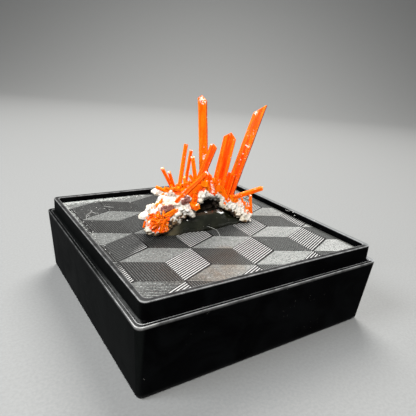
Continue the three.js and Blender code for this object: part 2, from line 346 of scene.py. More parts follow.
def makeFloor():              # a sheet of matt paper that bends up behind the object
    maker = Maker("paperFloor")
    grain = maker.noise(2.2, 4, 0.6)
    tone = floorLook["tone"]
    maker.colour(maker.mix(maker.between(grain, 0.3, 0.7), shade(tone, 0.93), shade(tone, 1.05)))
    maker.set(Roughness=0.85)
    maker.bump(grain, 0.05, 0.35)
    bm = bmesh.new()
    half = floorLook["width"] / 2
    yaw = math.radians(camera["yaw"])
    bmesh.ops.create_grid(bm, x_segments=1, y_segments=1, size=half)
    bmesh.ops.rotate(bm, cent=(0, 0, 0), matrix=Matrix.Rotation(-yaw, 3, "Z"), verts=bm.verts)
    away = Vector((math.sin(yaw), math.cos(yaw), 0))
    far = [e for e in bm.edges if all(v.co.dot(away) > half * 0.9 for v in e.verts)]
    bmesh.ops.translate(bm, vec=away * (floorLook["bendAt"] - half), verts=far[0].verts)
    near = [v for v in bm.verts if v.co.dot(away) < 0]
    bmesh.ops.translate(bm, vec=away * -half * 0.3, verts=near)
    centre = away * floorLook["bendAt"] + Vector((0, 0, floorLook["bendRadius"]))
    bend = math.radians(floorLook["bend"])
    bmesh.ops.spin(bm, geom=far, cent=centre, axis=(away.y, -away.x, 0), angle=bend, steps=floorLook["steps"],
                   use_merge=False)
    bmesh.ops.remove_doubles(bm, verts=bm.verts, dist=0.01)
    bmesh.ops.recalc_face_normals(bm, faces=bm.faces)
    floor = finished(bm, "floor", [maker.material], smooth=180)
    floor.visible_glossy = False      # a pale floor would turn the black walls grey


makeCamera()
makeLights()
makeFloor()
print("camera, lights and floor are set")


base = {                      # the black moulded base, with half widths from the middle
    "footHalf": 21.7, "footEdge": 0.6, "ledgeHalf": baseHigh.x, "ledgeZ": 12.0, "collarHalf": 21.5,
    "rimZ": baseHigh.z, "recessHalf": 20.7, "shoulderZ": 11.4, "wellHalf": 19.7, "floorZ": 1.6,
    "corner": 0.85, "cornerSteps": 8, "edgeRound": 0.09, "rimRound": 0.1,
    # the groove between ledge and collar: distance out from the collar, height over the ledge, wear and
    # painted highlight
    "groove": [(0.546, -0.02, 0.0), (0.504, 0.0, 0.9), (0.42, -0.014, 0.7), (0.364, -0.084, 0.0),
               (0.196, -0.098, 0.0), (0.084, -0.028, 0.0), (0.0, 0.126, 0.0), (0.0, 0.28, 0.0)],
}

plasticTones = {
    "dark": (0.0006, 0.0006, 0.0007), "smeared": (0.0018, 0.0020, 0.0022),
    # leftWall is a painted sheen on the left wall
    "leftWall": (0.0036, 0.0042, 0.0040), "scuff": (0.050, 0.051, 0.050), "dust": (0.30, 0.29, 0.27),
    # the rubbed edges with their painted highlight, brighter at the front left corner, and painted highlights
    # where the light catches the moulding at the right
    "edge": (0.27, 0.272, 0.27), "corner": (0.48, 0.48, 0.47), "rightRim": (0.095, 0.10, 0.10),
    "rightLedge": (0.15, 0.155, 0.16), "rightFoot": (0.10, 0.105, 0.11),
}


def plasticMaterial():
    maker = Maker("blackPlastic")
    tones = plasticTones
    wall, ledge = base["footHalf"], base["ledgeZ"]
    smear = maker.noise(0.12, 4, 0.6, distortion=1.2)
    fine = maker.noise(5.0, 3, 0.6)
    dust = maker.between(maker.noise(3.4, 2, 0.5), 0.735, 0.78)
    patches = maker.between(maker.noise(0.25, 2, 0.5), 0.5, 0.7)
    specks = maker.times(dust, patches)
    runs = maker.drawnOut((0.5, 0.5, 0.05), 4, 0.65)
    tone = maker.mix(maker.between(smear, 0.35, 0.7), tones["dark"], tones["smeared"])
    # the left wall is painted lighter in vertical streaks, a painted sheen of the light from the left
    leftWall = maker.times(maker.along("X", 0.5 - wall, -wall), maker.along("Z", 0.5, 1.1))
    runShare = maker.between(runs, 0.3, 0.7, 0.55, 1.0)
    tone = maker.mix(maker.times(runShare, leftWall), tone, tones["leftWall"])
    # the ledge is scuffed grey near the front left corner
    nearFront = maker.along("Y", -4, -17)
    ledgeTop = maker.times(maker.along("Z", ledge - 0.2, ledge - 0.07),
                           maker.along("Z", ledge + 0.2, ledge + 0.06))
    scuffs = maker.between(maker.drawnOut((6, 0.5, 0.5), 3, 0.7), 0.35, 0.65, 0.3, 1.0)
    tone = maker.mix(maker.times(leftWall, nearFront, ledgeTop, scuffs), tone, tones["scuff"])
    lit = {
        "rightRim": maker.times(maker.along("Z", 14.5, 14.64), maker.along("X", 20.0, 21.0)),
        "rightLedge": maker.times(ledgeTop, maker.along("X", 21.3, 21.55)),
        "rightFoot": maker.times(maker.near(wall, -wall, 1.9), maker.along("Z", 0.8, 0.35)),
    }
    for name, share in lit.items():
        tone = maker.mix(share, tone, tones[name])
    # the moulded edges are rubbed pale and hold dust, and carry a painted highlight where the light would
    # catch them, brightest at the front left corner of the ledge
    wearAndHighlight = maker.times(maker.attribute("edge"), maker.between(maker.noise(0.7, 4, 0.7), 0.3, 0.6, 0.4, 1.0))
    wearAndHighlightShare = maker.maths("MAXIMUM", maker.along("X", -21.8, -21.2, 0.3, 1.0), nearFront)
    corner = maker.times(maker.near(-21.8, -21.8, 2.6), maker.along("Z", ledge + 0.6, ledge + 0.2))
    wearAndHighlightTone = maker.mix(corner, tones["edge"], tones["corner"])
    tone = maker.mix(maker.times(wearAndHighlight, wearAndHighlightShare, 0.8), tone, wearAndHighlightTone)
    maker.colour(maker.mix(specks, tone, tones["dust"]))
    maker.rough(maker.between(maker.plus(smear, specks), 0.3, 1.2, 0.3, 0.55))
    maker.bump(fine, 0.012, 0.35)
    maker.set(IOR=1.49, Specular_IOR_Level=0.008)
    return maker.material


def roundedRing(bm, half, z):
    bmesh.ops.create_circle(bm, cap_ends=False, radius=half * math.sqrt(2), segments=4)
    bmesh.ops.rotate(bm, cent=(0, 0, 0), matrix=Matrix.Rotation(math.radians(45), 3, "Z"), verts=bm.verts)
    bevelled(bm, list(bm.verts), base["corner"], base["cornerSteps"], "VERTICES")
    bmesh.ops.translate(bm, vec=(0, 0, z), verts=bm.verts)
    return list(bm.edges)


def quarter(centreHalf, centreZ, radius, start, end, steps, edge=1.0):      # stations of a rounded edge
    for i in range(steps + 1):
        angle = math.radians(start + (end - start) * i / steps)
        wornAndLit = edge if 0 < i < steps else edge * 0.5
        yield centreHalf + radius * math.cos(angle), centreZ + radius * math.sin(angle), wornAndLit


def baseProfile():            # half width, height and edge wear with painted highlight of each station, from the underside up and in
    foot, ledge, collar = base["footHalf"], base["ledgeHalf"], base["collarHalf"]
    recess, well = base["recessHalf"], base["wellHalf"]
    footEdge, edgeRound, rimRound = base["footEdge"], base["edgeRound"], base["rimRound"]
    ledgeZ, rimZ, shoulderZ, floorZ = base["ledgeZ"], base["rimZ"], base["shoulderZ"], base["floorZ"]
    yield from quarter(foot - footEdge, footEdge, footEdge, -90, 0, 5, 0.05)
    yield foot + 0.02, footEdge + 0.3, 0.0
    yield ledge - 0.02, ledgeZ - 0.5, 0.0
    yield from quarter(ledge - edgeRound, ledgeZ - edgeRound, edgeRound, 0, 90, 4)
    yield ledge - edgeRound - 0.06, ledgeZ, 0.0
    for out, up, wornAndLit in base["groove"]:
        yield collar + out, ledgeZ + up, wornAndLit
    yield collar, rimZ - 2 * rimRound, 0.0
    yield from quarter(collar - rimRound, rimZ - rimRound, rimRound, 0, 90, 4, 0.8)
    yield collar - rimRound - 0.12, rimZ, 0.1
    yield recess + rimRound + 0.12, rimZ, 0.1
    yield from quarter(recess + rimRound, rimZ - rimRound, rimRound, 90, 180, 4, 0.8)
    yield recess, rimZ - 2 * rimRound, 0.0
    yield recess, shoulderZ, 0.0
    yield well, shoulderZ, 0.0
    yield well - 0.2, floorZ + 0.8, 0.0
    yield well - 1.0, floorZ, 0.0


def makeBase():
    bm = bmesh.new()
    wearAndHighlight = bm.verts.layers.float.new("edge")
    stations = list(baseProfile())
    half, z, edge = stations[0]
    ring = roundedRing(bm, half, z)
    for vert in bm.verts:
        vert[wearAndHighlight] = edge
    bmesh.ops.contextual_create(bm, geom=ring)
    for nextHalf, nextZ, edge in stations[1:]:
        verts, ring = extruded(bm, ring)
        bmesh.ops.scale(bm, vec=(nextHalf / half, nextHalf / half, 1), verts=verts)
        bmesh.ops.translate(bm, vec=(0, 0, nextZ - z), verts=verts)
        for vert in verts:
            vert[wearAndHighlight] = edge
        half, z = nextHalf, nextZ
    bmesh.ops.contextual_create(bm, geom=ring)
    bmesh.ops.recalc_face_normals(bm, faces=bm.faces)
    piece = pieceFrom(bm, "mouldedBase", [plasticMaterial()], "base_plastic", ["box_base"], smooth=28)
    weights = piece.modifiers.new("evenShade", "WEIGHTED_NORMAL")
    weights.keep_sharp = True


makeBase()


blocks = {                    # the pattern of tumbling blocks on the panel, in the base's own axes
    "column": 6.2, "rise": 2.85, "upright": 6.3, "rowStep": 9.15, "firstX": -13.2, "firstY": -11.25,
    "columns": range(-2, 7), "rows": range(-2, 6), "lines": (13, 16, 13), "ridge": 0.035, "narrow": 0.32,
    "seam": 0.1, "edgeDrop": 0.25, "corner": 0.6,
}

# the top, left and right faces of the blocks are lit and shaded copies of one print: their different tones
# are painted light and shade, the grooves are painted dark as painted shade between the ridges, and the
# change of the ridges towards the right is a painted reflection
panelTones = {                # tone of the ridges at the left and at the right, where that change starts and
                              # ends and how far it leans, tone of the grooves, how much sand shows, roughness
    "top": {"left": (0.115, 0.118, 0.112), "right": (0.325, 0.333, 0.318), "change": (-11, 12), "lean": 0.35,
            "groove": (0.072, 0.074, 0.071), "sand": 0.9, "roughness": 0.5},
    "left": {"left": (0.038, 0.038, 0.036), "right": (0.095, 0.098, 0.094), "change": (-13, 10), "lean": 0.35,
             "groove": (0.001, 0.001, 0.001), "sand": 0.2, "roughness": 0.45},
    "right": {"left": (0.050, 0.051, 0.049), "right": (0.325, 0.323, 0.315), "change": (-10.8, -7.6),
              "lean": 1.0, "groove": (0.002, 0.002, 0.002), "sand": 0.15, "roughness": 0.45},
}

panelLook = {                 # the spots are x, y, reach
    "brownSpots": [(-5.3, -15.5, 4.6), (-2.4, -12.0, 3.0), (-12.6, -15.0, 4.2), (-9.0, -19.0, 3.6)],
    "brown": (0.82, 0.67, 0.57), "darkLinesAt": (-15.5, -19.5, 6.5), "darkLines": (0.008, 0.008, 0.008),
    "darkSand": (0.28, 0.28, 0.28), "paleSand": (0.44, 0.45, 0.43), "litRidges": (0.42, 0.425, 0.41),
    "wallGrimeAndShadow": (0.22, 0.22, 0.21), "dust": (0.30, 0.31, 0.295),
}


def panelMaterial(name):
    look = panelTones[name]
    maker = Maker("panel" + name.capitalize())
    top, ridge = panelHigh.z, blocks["ridge"]
    height = maker.along("Z", top - ridge * 0.35, top - ridge * 0.1)
    sand = maker.noise(4.4, 3, 0.8)
    # the ridges are painted brighter towards the right, a painted reflection of the light
    leaning = maker.plus(maker.axis("X"), maker.times(maker.axis("Y"), -look["lean"]))
    start, end = look["change"]
    ridges = maker.mix(maker.between(leaning, start * mm, end * mm), look["left"], look["right"])
    groove = look["groove"]
    if name == "top":         # the light catches the right corner, and lines show dark at the front left
        ridges = maker.mix(maker.between(leaning, 17.0 * mm, 20.5 * mm), ridges, panelLook["litRidges"])
        groove = maker.mix(maker.near(*panelLook["darkLinesAt"]), groove, panelLook["darkLines"])
    darkSand = maker.between(sand, 0.5, 0.4, 0.0, look["sand"])
    ridges = maker.mix(darkSand, ridges, panelLook["darkSand"], "MULTIPLY")
    paleSand = maker.between(sand, 0.55, 0.65, 0.0, look["sand"] * 0.7)
    ridges = maker.mix(paleSand, ridges, panelLook["paleSand"])
    tone = maker.mix(height, groove, ridges)
    cloud = maker.noise(0.5, 3, 0.6)
    for spot in panelLook["brownSpots"] if name != "right" else ():
        brown = maker.times(maker.near(*spot), maker.between(cloud, 0.3, 0.6, 0.3, 0.85))
        tone = maker.mix(brown, tone, panelLook["brown"], "MULTIPLY")
    # grime and a painted shadow darken the panel along the right wall
    tone = maker.mix(maker.along("X", 19.45, 19.8, 0.0, 0.85), tone, panelLook["wallGrimeAndShadow"], "MULTIPLY")
    # dust lies along the left and back edges
    leftward = maker.along("X", 4, -14)
    backward = maker.along("Y", -6, 12)
    leftEdge = maker.times(maker.along("X", -19.2, -20.2), backward)
    backEdge = maker.times(maker.along("Y", 17.6, 19.8), leftward)
    edges = maker.maths("MAXIMUM", leftEdge, backEdge)
    lying = maker.plus(maker.times(leftward, backward, 0.05), maker.times(edges, 0.17))
    dust = maker.between(maker.plus(maker.noise(1.6, 6, 0.85), lying), 0.64, 0.72)
    maker.colour(maker.mix(maker.times(dust, 0.85), tone, panelLook["dust"]))
    maker.set(Roughness=look["roughness"], Specular_IOR_Level=0.06)
    maker.bump(sand, 0.02, 0.5)
    return maker.material


def blockFace(bm, corners, kind):      # a rhombus whose lines run along its first edge
    middle = sum(corners, Vector()) / 4
    drawn = [middle + (c - middle) * (1 - blocks["seam"] / (c - middle).length) for c in corners]
    part = bmesh.new()
    verts = [part.verts.new(c) for c in drawn]
    part.faces.new(verts)
    sides = ({verts[1], verts[2]}, {verts[3], verts[0]})
    lines = blocks["lines"][kind]
    bmesh.ops.subdivide_edges(
        part, edges=[e for e in part.edges if set(e.verts) in sides], cuts=2 * lines - 1, use_grid_fill=True)
    step = (drawn[3] - drawn[0]) / (2 * lines)
    direction = (drawn[1] - drawn[0]).normalized()
    square = step - direction * step.dot(direction)      # the strips are sheared, so they're counted square
    across = square.normalized()
    strips = []
    for face in part.faces:
        number = int((face.calc_center_median() - drawn[0]).dot(across) / square.length)
        if number % 2 == 0:
            strips.append(face)
    raised = bmesh.ops.extrude_discrete_faces(part, faces=strips)["faces"]
    bmesh.ops.translate(part, vec=(0, 0, blocks["ridge"]), verts=list({v for f in raised for v in f.verts}))
    for face in raised:       # the ridges are narrower at the top
        centre = face.calc_center_median()
        for vert in face.verts:
            vert.co -= across * (vert.co - centre).dot(across) * blocks["narrow"]
    for face in part.faces:
        face.material_index = kind
    addTo(bm, part)


def makePanel():
    half = panelHigh.x
    grooveZ = panelHigh.z - blocks["ridge"]
    c, r, u = blocks["column"], blocks["rise"], blocks["upright"]
    left, right = Vector((-c, r, 0)), Vector((c, r, 0))
    crown, drop = Vector((0, 2 * r, 0)), Vector((0, -u, 0))
    relief = bmesh.new()
    for column in blocks["columns"]:
        x = blocks["firstX"] + column * c
        for row in blocks["rows"]:
            y = blocks["firstY"] + row * blocks["rowStep"]
            if (row + column) % 2 or abs(x) > half + c or abs(y) > half + 2 * u:
                continue
            centre = Vector((x, y, grooveZ))
            blockFace(relief, [centre + crown, centre + right, centre, centre + left], 0)
            blockFace(relief, [centre, centre + drop, centre + left + drop, centre + left], 1)
            blockFace(relief, [centre, centre + right, centre + right + drop, centre + drop], 2)
    for normal in ((1, 0, 0), (-1, 0, 0), (0, 1, 0), (0, -1, 0)):
        cutAway(relief, Vector(normal) * (half - blocks["edgeDrop"]), normal)
    bmesh.ops.recalc_face_normals(relief, faces=relief.faces)
    for face in relief.faces:
        if face.normal.z < -0.9:
            face.normal_flip()
    slab = bmesh.new()
    thick = grooveZ - panelLow.z - 0.004      # stays just under the grooves
    blockOn(slab, (2 * half, 2 * half, thick), panelLow.z)
    bevelled(slab, uprightEdges(slab, thick / 2), blocks["corner"], 4)
    for face in slab.faces:
        face.material_index = 1
    addTo(relief, slab)
    pieceFrom(relief, "blocksPanel", [panelMaterial(k) for k in panelTones], "panel_print", ["pattern_panel"])


makePanel()


rockLumps = {                 # x, y, z, radius
    "body": [
        (-9.8, 0.0, 16.2, 1.5), (-8.2, 1.3, 16.3, 1.6), (-7.2, 0.2, 17.1, 1.5), (-5.4, -0.3, 17.7, 1.6),
        (-2.4, 0.7, 18.2, 2.3), (1.2, 1.7, 18.2, 2.4), (4.9, 1.6, 17.6, 2.0), (7.5, 1.5, 16.5, 1.8),
        (9.6, 0.4, 15.6, 1.2), (3.4, 3.3, 16.9, 2.5), (-0.9, 3.1, 17.0, 2.5), (-5.2, 3.1, 17.2, 2.4),
        (6.9, 3.2, 16.3, 1.9), (-0.6, -0.2, 19.3, 1.3), (2.2, 0.2, 18.9, 1.3), (4.6, -0.1, 17.6, 1.3),
    ],
    "lobe": [
        (-12.6, -1.6, 17.5, 0.74), (-12.0, -1.5, 17.5, 0.8), (-11.3, -1.4, 17.4, 0.75),
        (-10.8, -1.6, 16.8, 1.05), (-9.9, -1.9, 16.4, 1.25), (-11.6, -2.4, 16.2, 0.9),
        (-12.1, -2.7, 15.6, 0.68), (-10.7, -2.3, 14.9, 0.85), (-9.7, -2.5, 15.1, 0.85),
        (-9.0, -2.3, 16.3, 0.8), (-9.8, -0.9, 17.6, 0.95), (-11.2, -1.0, 18.4, 0.46),
        (-10.4, -0.8, 18.8, 0.34), (-9.0, -0.7, 18.6, 0.8), (-8.4, -0.2, 19.4, 0.66),
        (-7.7, -1.2, 18.0, 1.1), (-11.4, -1.3, 18.5, 0.42), (-10.75, -1.2, 19.2, 0.2),
        (-10.9, -1.2, 18.8, 0.26), (-9.35, -1.4, 18.8, 0.5), (-10.4, -1.8, 18.2, 0.6),
        (-8.5, -1.9, 18.4, 0.78), (-7.7, -2.0, 18.5, 0.74), (-11.5, -3.1, 16.3, 0.24),
        (-9.9, -3.0, 14.8, 0.24), (-9.2, -2.9, 16.6, 0.32), (-8.6, -2.9, 17.0, 0.3),
        (-8.2, -2.7, 16.1, 0.5), (-7.9, -2.9, 15.4, 0.48), (-7.2, -2.6, 16.0, 0.5),
        (-8.6, -2.9, 14.9, 0.45), (-12.2, -2.6, 15.6, 0.55), (-11.8, -2.7, 15.0, 0.55),
        (-10.4, -2.5, 14.7, 0.75), (-9.4, -2.3, 14.8, 0.7),
    ],
    "brow": [
        (-7.9, -0.9, 19.5, 0.7), (-7.2, -1.2, 19.4, 0.8), (-6.5, -1.6, 19.0, 0.88), (-5.8, -2.0, 18.6, 0.9),
        (-5.1, -2.3, 18.2, 0.88), (-4.6, -2.6, 17.8, 0.82), (-4.1, -2.8, 17.4, 0.74),
        (-3.7, -2.9, 17.0, 0.6), (-6.4, -2.1, 17.4, 0.9), (-6.9, -2.4, 16.9, 0.7), (-5.5, -2.1, 17.0, 0.75),
        (-6.3, -1.8, 16.0, 1.0), (-7.5, -2.2, 17.0, 0.6), (-5.6, -2.5, 19.8, 0.66),
        (-4.9, -2.5, 19.8, 0.66), (-6.3, -2.9, 18.4, 0.36), (-7.6, -1.9, 15.4, 0.9),
    ],
    "shelf": [
        (-8.5, 1.8, 20.3, 0.72), (-7.4, 1.9, 19.9, 0.86), (-6.1, 2.0, 19.7, 0.92), (-4.8, 2.0, 19.4, 0.94),
        (-3.8, 1.6, 19.3, 0.94), (-7.7, 0.6, 19.2, 0.63), (-6.6, 1.0, 18.6, 1.1),
    ],
    "centre": [
        (-2.1, -2.5, 20.9, 0.42), (-1.5, -2.4, 20.7, 0.55), (-0.9, -2.2, 20.2, 0.6),
        (-2.0, -2.6, 20.2, 0.45), (-1.9, -2.5, 19.6, 0.5), (-2.5, -2.6, 20.3, 0.42),
        (-2.5, -2.6, 19.5, 0.4), (-0.6, -2.1, 20.2, 0.45), (0.0, -2.0, 20.0, 0.42),
        (0.7, -1.9, 19.85, 0.42), (1.3, -1.7, 19.7, 0.42), (-1.7, -1.6, 20.3, 0.66),
        (-0.9, -1.5, 20.2, 0.8), (-2.0, -2.0, 19.6, 0.62), (-1.9, -2.1, 19.0, 0.46),
        (-0.2, -1.6, 20.0, 0.66), (0.4, -1.4, 19.8, 0.6), (1.2, -1.3, 19.7, 0.5), (1.9, -1.3, 20.0, 0.58),
    ],
    "slope": [
        (2.6, -1.3, 19.4, 0.56), (3.2, -1.3, 19.0, 0.52), (3.1, -1.8, 17.8, 0.52), (3.6, -1.6, 17.6, 0.5),
        (4.2, -1.4, 18.0, 0.62), (4.9, -1.3, 17.7, 0.7), (5.6, -1.5, 17.2, 0.8), (6.4, -1.6, 16.7, 0.66),
        (7.0, -1.9, 16.1, 0.84), (7.7, -2.1, 15.6, 0.62), (8.3, -2.2, 15.2, 0.7), (9.0, -2.5, 14.6, 0.56),
        (9.4, -2.7, 14.2, 0.36), (4.5, -2.0, 16.9, 0.5), (5.5, -2.3, 16.1, 0.56), (6.5, -2.6, 15.3, 0.54),
        (7.5, -2.8, 14.6, 0.48), (8.3, -2.9, 14.2, 0.4), (3.6, -2.1, 17.3, 0.36), (5.3, -1.3, 17.4, 0.64),
        (4.0, -1.4, 18.2, 0.47), (6.0, -1.2, 17.0, 0.8), (7.0, -1.2, 16.6, 0.86), (7.9, -1.3, 16.0, 0.82),
        (8.9, -1.4, 15.4, 0.78), (9.7, -1.5, 14.9, 0.66), (10.2, -1.6, 14.5, 0.46), (8.9, -0.3, 16.3, 0.86),
        (8.1, 0.2, 16.8, 0.95),
    ],
}

rockHollows = [               # x, y, z, radius, stretch
    (0.4, -1.9, 17.55, 1.75, (1.32, 1.9, 0.88)),
    (5.6, -3.0, 15.0, 1.1, (1.6, 1.0, 0.7)),
    (-12.0, -2.3, 18.0, 0.4, (0.5, 1.2, 1.0)),
    (-10.9, -2.2, 18.7, 0.36, (0.6, 1.4, 0.8)),
    (4.3, -2.1, 17.2, 0.42, (1.3, 1.2, 0.7)),
]

rockLook = {
    "coarse": 0.26, "fine": 0.12, "knobs": 760, "knobSizes": (0.13, 0.38), "slopeKnobSizes": (0.14, 0.28),
    "knobStretch": (0.8, 1.3), "wobble": 0.12, "knobble": 0.176, "grit": 0.04,
}


def addKnobs(bm, body):       # small lumps on the upper side of the rock
    rnd = random.Random(5)
    faces = [f for f in body.faces if f.normal.z > -0.35]
    for face in rnd.sample(faces, rockLook["knobs"]):
        centre = face.calc_center_median()
        slope = centre.x > 3.6 and centre.y < -0.8      # finer knobs at the right
        if noise.noise(centre * 0.7 + Vector((3, 1, 8))) < -0.25 or centre.x < -11.9:
            continue
        r = rnd.uniform(*rockLook["slopeKnobSizes" if slope else "knobSizes"])
        part = bmesh.new()
        bmesh.ops.create_icosphere(part, subdivisions=2, radius=r)
        stretch = [rnd.uniform(*rockLook["knobStretch"]) for _ in range(3)]
        addTo(bm, part, Matrix.Translation(centre + face.normal * r * 0.2) @ Matrix.Diagonal((*stretch, 1)))


def rockSkin():
    lumps = [(*lump, (1, 1, 1)) for group in rockLumps.values() for lump in group]
    body = hollowed(remeshed(ellipsoids(lumps, 2), rockLook["coarse"]), rockHollows)
    body.normal_update()
    knobs = bmesh.new()
    addKnobs(knobs, body)
    addTo(knobs, body)
    skin = remeshed(knobs, rockLook["fine"])
    relaxed(skin, skin.verts)
    skin.normal_update()
    moves = []
    for vert in skin.verts:
        p = vert.co
        large = noise.noise(p * 0.9) * rockLook["wobble"]
        medium = (abs(noise.noise(p * 2.1 + Vector((7, 3, 1)))) - 0.18) * rockLook["knobble"]
        grit = noise.noise(p * 5.5) * rockLook["grit"]
        moves.append(vert.normal * (large + medium + grit))
    for vert, move in zip(skin.verts, moves):
        vert.co += move
        vert.co.z = max(vert.co.z, rockLow.z)
    # how far each point stands out of the smoothed rock, so crevices can be given painted shade
    relief = skin.verts.layers.float.new("relief")
    kept = [vert.co.copy() for vert in skin.verts]
    relaxed(skin, skin.verts, 9)
    skin.normal_update()
    for vert, place in zip(skin.verts, kept):
        vert[relief] = (place - vert.co).dot(vert.normal)
        vert.co = place
    skin.normal_update()
    return skin


stainSpots = {                # x, y, z, reach of each stain on the rock
    "maroon": [
        (-8.7, -2.7, 18.5, 1.4), (-7.8, -2.5, 18.8, 1.0), (-5.3, -2.9, 19.9, 1.15),
    ],
    "rust": [
        (-5.0, -3.2, 16.9, 0.7), (-7.7, -3.2, 15.8, 1.4), (-10.2, -3.4, 14.1, 1.1), (5.4, -2.9, 15.8, 0.95),
        # the first three spots below ring the hollow under the arch in brown, partly as painted shade
        (0.4, 0.3, 17.6, 2.5), (1.8, -0.1, 17.4, 2.0), (-0.9, 0.0, 17.4, 1.7), (3.3, -2.5, 17.2, 0.5),
        (4.5, -2.6, 16.6, 0.7), (6.5, -3.2, 15.0, 0.8), (7.8, -3.3, 14.2, 0.7), (-5.9, -2.8, 17.3, 0.4),
        (-8.5, -3.3, 14.9, 0.9), (-6.6, -3.0, 16.9, 0.35),
    ],
    # the dark spots are painted shade in the hollow under the arch and in holes in the crust
    "dark": [
        (0.4, 0.2, 17.8, 2.2), (-0.9, -0.2, 17.6, 1.4), (1.8, -0.3, 17.6, 1.6), (2.7, -0.8, 17.5, 0.9),
        (-4.9, -2.7, 16.8, 0.55), (-8.1, -3.1, 16.2, 0.45), (-7.8, -3.2, 15.6, 0.4), (5.0, -2.0, 16.0, 1.0),
    ],
    "orange": [
        (-10.6, -3.2, 16.6, 2.0), (-9.6, -3.1, 17.2, 1.4), (-11.0, -2.5, 17.3, 0.9),
        (-10.2, -2.2, 18.2, 0.4), (-3.3, -2.1, 20.4, 0.9), (-9.0, -1.3, 18.9, 0.4), (4.6, -1.6, 18.6, 0.7),
        (9.2, 0.0, 16.8, 0.9), (8.3, -1.9, 16.4, 0.35), (9.2, -2.0, 15.4, 0.4), (-11.3, -3.0, 16.6, 1.0),
        (3.6, -2.1, 18.1, 0.4), (-4.6, 1.2, 20.4, 1.0), (-9.6, -3.2, 15.6, 1.2),
    ],
    "blush": [
        (8.0, -0.4, 17.3, 1.0), (2.0, -1.6, 20.2, 0.5), (-6.2, -2.9, 17.0, 0.5), (-9.8, -2.0, 18.3, 0.6),
    ],
}

crustLook = {                 # tones, and how far stains go and how ragged they are in parts of their reach
    "white": (0.52, 0.50, 0.465), "cream": (0.46, 0.405, 0.315), "buff": (0.33, 0.275, 0.215),
    "brown": ((0.035, 0.019, 0.009), (0.20, 0.125, 0.065)),
    "maroon": ((0.12, 0.035, 0.026), (0.29, 0.135, 0.11)),
    "orange": ((0.60, 0.040, 0.001), (0.85, 0.125, 0.003)), "blush": (0.72, 0.36, 0.27),
    "pit": (0.20, 0.125, 0.07), "creviceShade": (0.30, 0.22, 0.15), "dark": (0.014, 0.009, 0.006),
    "stainEdge": 1.2, "stainEnd": 1.6, "ragged": 0.35,
}


def paintPoints(mesh, name, values):
    mesh.attributes.new(name, "FLOAT", "POINT").data.foreach_set("value", values)


def paintStains(mesh):
    for name, spots in stainSpots.items():
        values = []
        for vert in mesh.vertices:
            p = vert.co / mm
            value = 0.0
            for x, y, z, reach in spots:
                distance = (p - Vector((x, y, z))).length / reach
                if distance < crustLook["stainEnd"]:
                    ragged = crustLook["ragged"] * noise.noise(p * 1.6)
                    value = max(value, crustLook["stainEdge"] - distance + ragged)
            values.append(max(0.0, min(1.0, value)))
        paintPoints(mesh, name, values)
    # faces turned down are marked for brown, the more the lower down they are
    values = []
    for vert in mesh.vertices:
        low = min(1.0, max(0.4, (18.0 - vert.co.z / mm) / 1.5))
        values.append(low * max(0.0, min(1.0, 0.2 - 1.2 * vert.normal.z)))
    paintPoints(mesh, "under", values)


def crustMaterial():
    maker = Maker("paleCrust")
    look = crustLook
    wide = maker.noise(0.55, 4, 0.6)
    fine = maker.noise(4.0, 4, 0.65)
    jagged = maker.noise(1.4, 4, 0.7)
    brown = maker.mix(maker.between(fine, 0.35, 0.65), *look["brown"])
    maroon = maker.mix(maker.between(fine, 0.35, 0.7), *look["maroon"])
    orange = maker.mix(maker.between(fine, 0.3, 0.7), *look["orange"])
    tone = maker.mix(maker.between(wide, 0.38, 0.68), look["white"], look["cream"])
    tone = maker.mix(maker.between(fine, 0.48, 0.72, 0.0, 0.35), tone, look["buff"])

    def stained(colour, stain, name, amount=1.0, low=0.78, high=0.98):
        edge = maker.plus(maker.attribute(name), maker.times(jagged, 0.9))
        return maker.mix(maker.between(edge, low, high, 0.0, amount), colour, stain)

    tone = stained(tone, look["blush"], "blush", 0.6)
    tone = stained(tone, maroon, "maroon")
    tone = stained(tone, brown, "rust")
    tone = stained(tone, brown, "under", 0.85)
    tone = stained(tone, orange, "orange", 1.0, 0.82, 0.92)
    pit = maker.times(maker.pits(2.3, 0.26, 0.12), maker.between(jagged, 0.47, 0.55, 0.0, 0.85))
    tone = maker.mix(pit, tone, look["pit"])
    # crevices are darkened as painted shade
    creviceShade = maker.between(maker.attribute("relief"), 0.01, -0.10, 0.0, 0.7)
    tone = maker.mix(creviceShade, tone, look["creviceShade"], "MULTIPLY")
    # painted shade in the hollow under the arch and in holes
    tone = stained(tone, look["dark"], "dark", 1.0, 0.6, 0.98)
    maker.colour(tone)
    maker.set(Roughness=0.75, Specular_IOR_Level=0.15)
    maker.bump(fine, 0.07, 0.7)
    return maker.material


def makeRock():
    skin = rockSkin()
    surface = BVHTree.FromBMesh(skin)
    piece = pieceFrom(skin, "matrixRock", [crustMaterial()], "matrix_crust", ["matrix"], smooth=180)
    paintStains(piece.data)
    return surface


rockSurface = makeRock()


puttyMounds = [               # x, y, z, radius, stretch
    (0.2, 0.9, 13.8, 4.0, (2.05, 1, 0.93)),
    (-6.0, 0.6, 13.8, 3.5, (1.2, 1, 0.9)),
    (6.2, 0.9, 13.8, 3.3, (1.2, 1, 0.7)),
    (-2.4, -1.55, 15.8, 1.0, (1.7, 1, 1)),
    (0.4, -1.6, 15.75, 1.0, (1.9, 1, 1)),
    (3.0, -1.5, 15.8, 0.95, (1.6, 1, 1)),
]

puttyDents = [(0.8, 0.4, 17.8, 1.75, (2.2, 1.1, 0.85))]

puttyLook = {
    "voxel": 0.2, "wave": 0.1, "smooth": 6, "dark": (0.0045, 0.0052, 0.0028), "pale": (0.011, 0.012, 0.0065),
    "rim": (0.075, 0.045, 0.030), "inside": (0.004, 0.0035, 0.003), "left": (0.085, 0.070, 0.040),
    "specks": (0.28, 0.27, 0.23),
    # a flat spot: place, the way it faces, half sizes
    "flat": ((2.95, -2.4, 16.7), (-0.443, -0.722, 0.531), (1.3, 0.36, 0.8)),
}


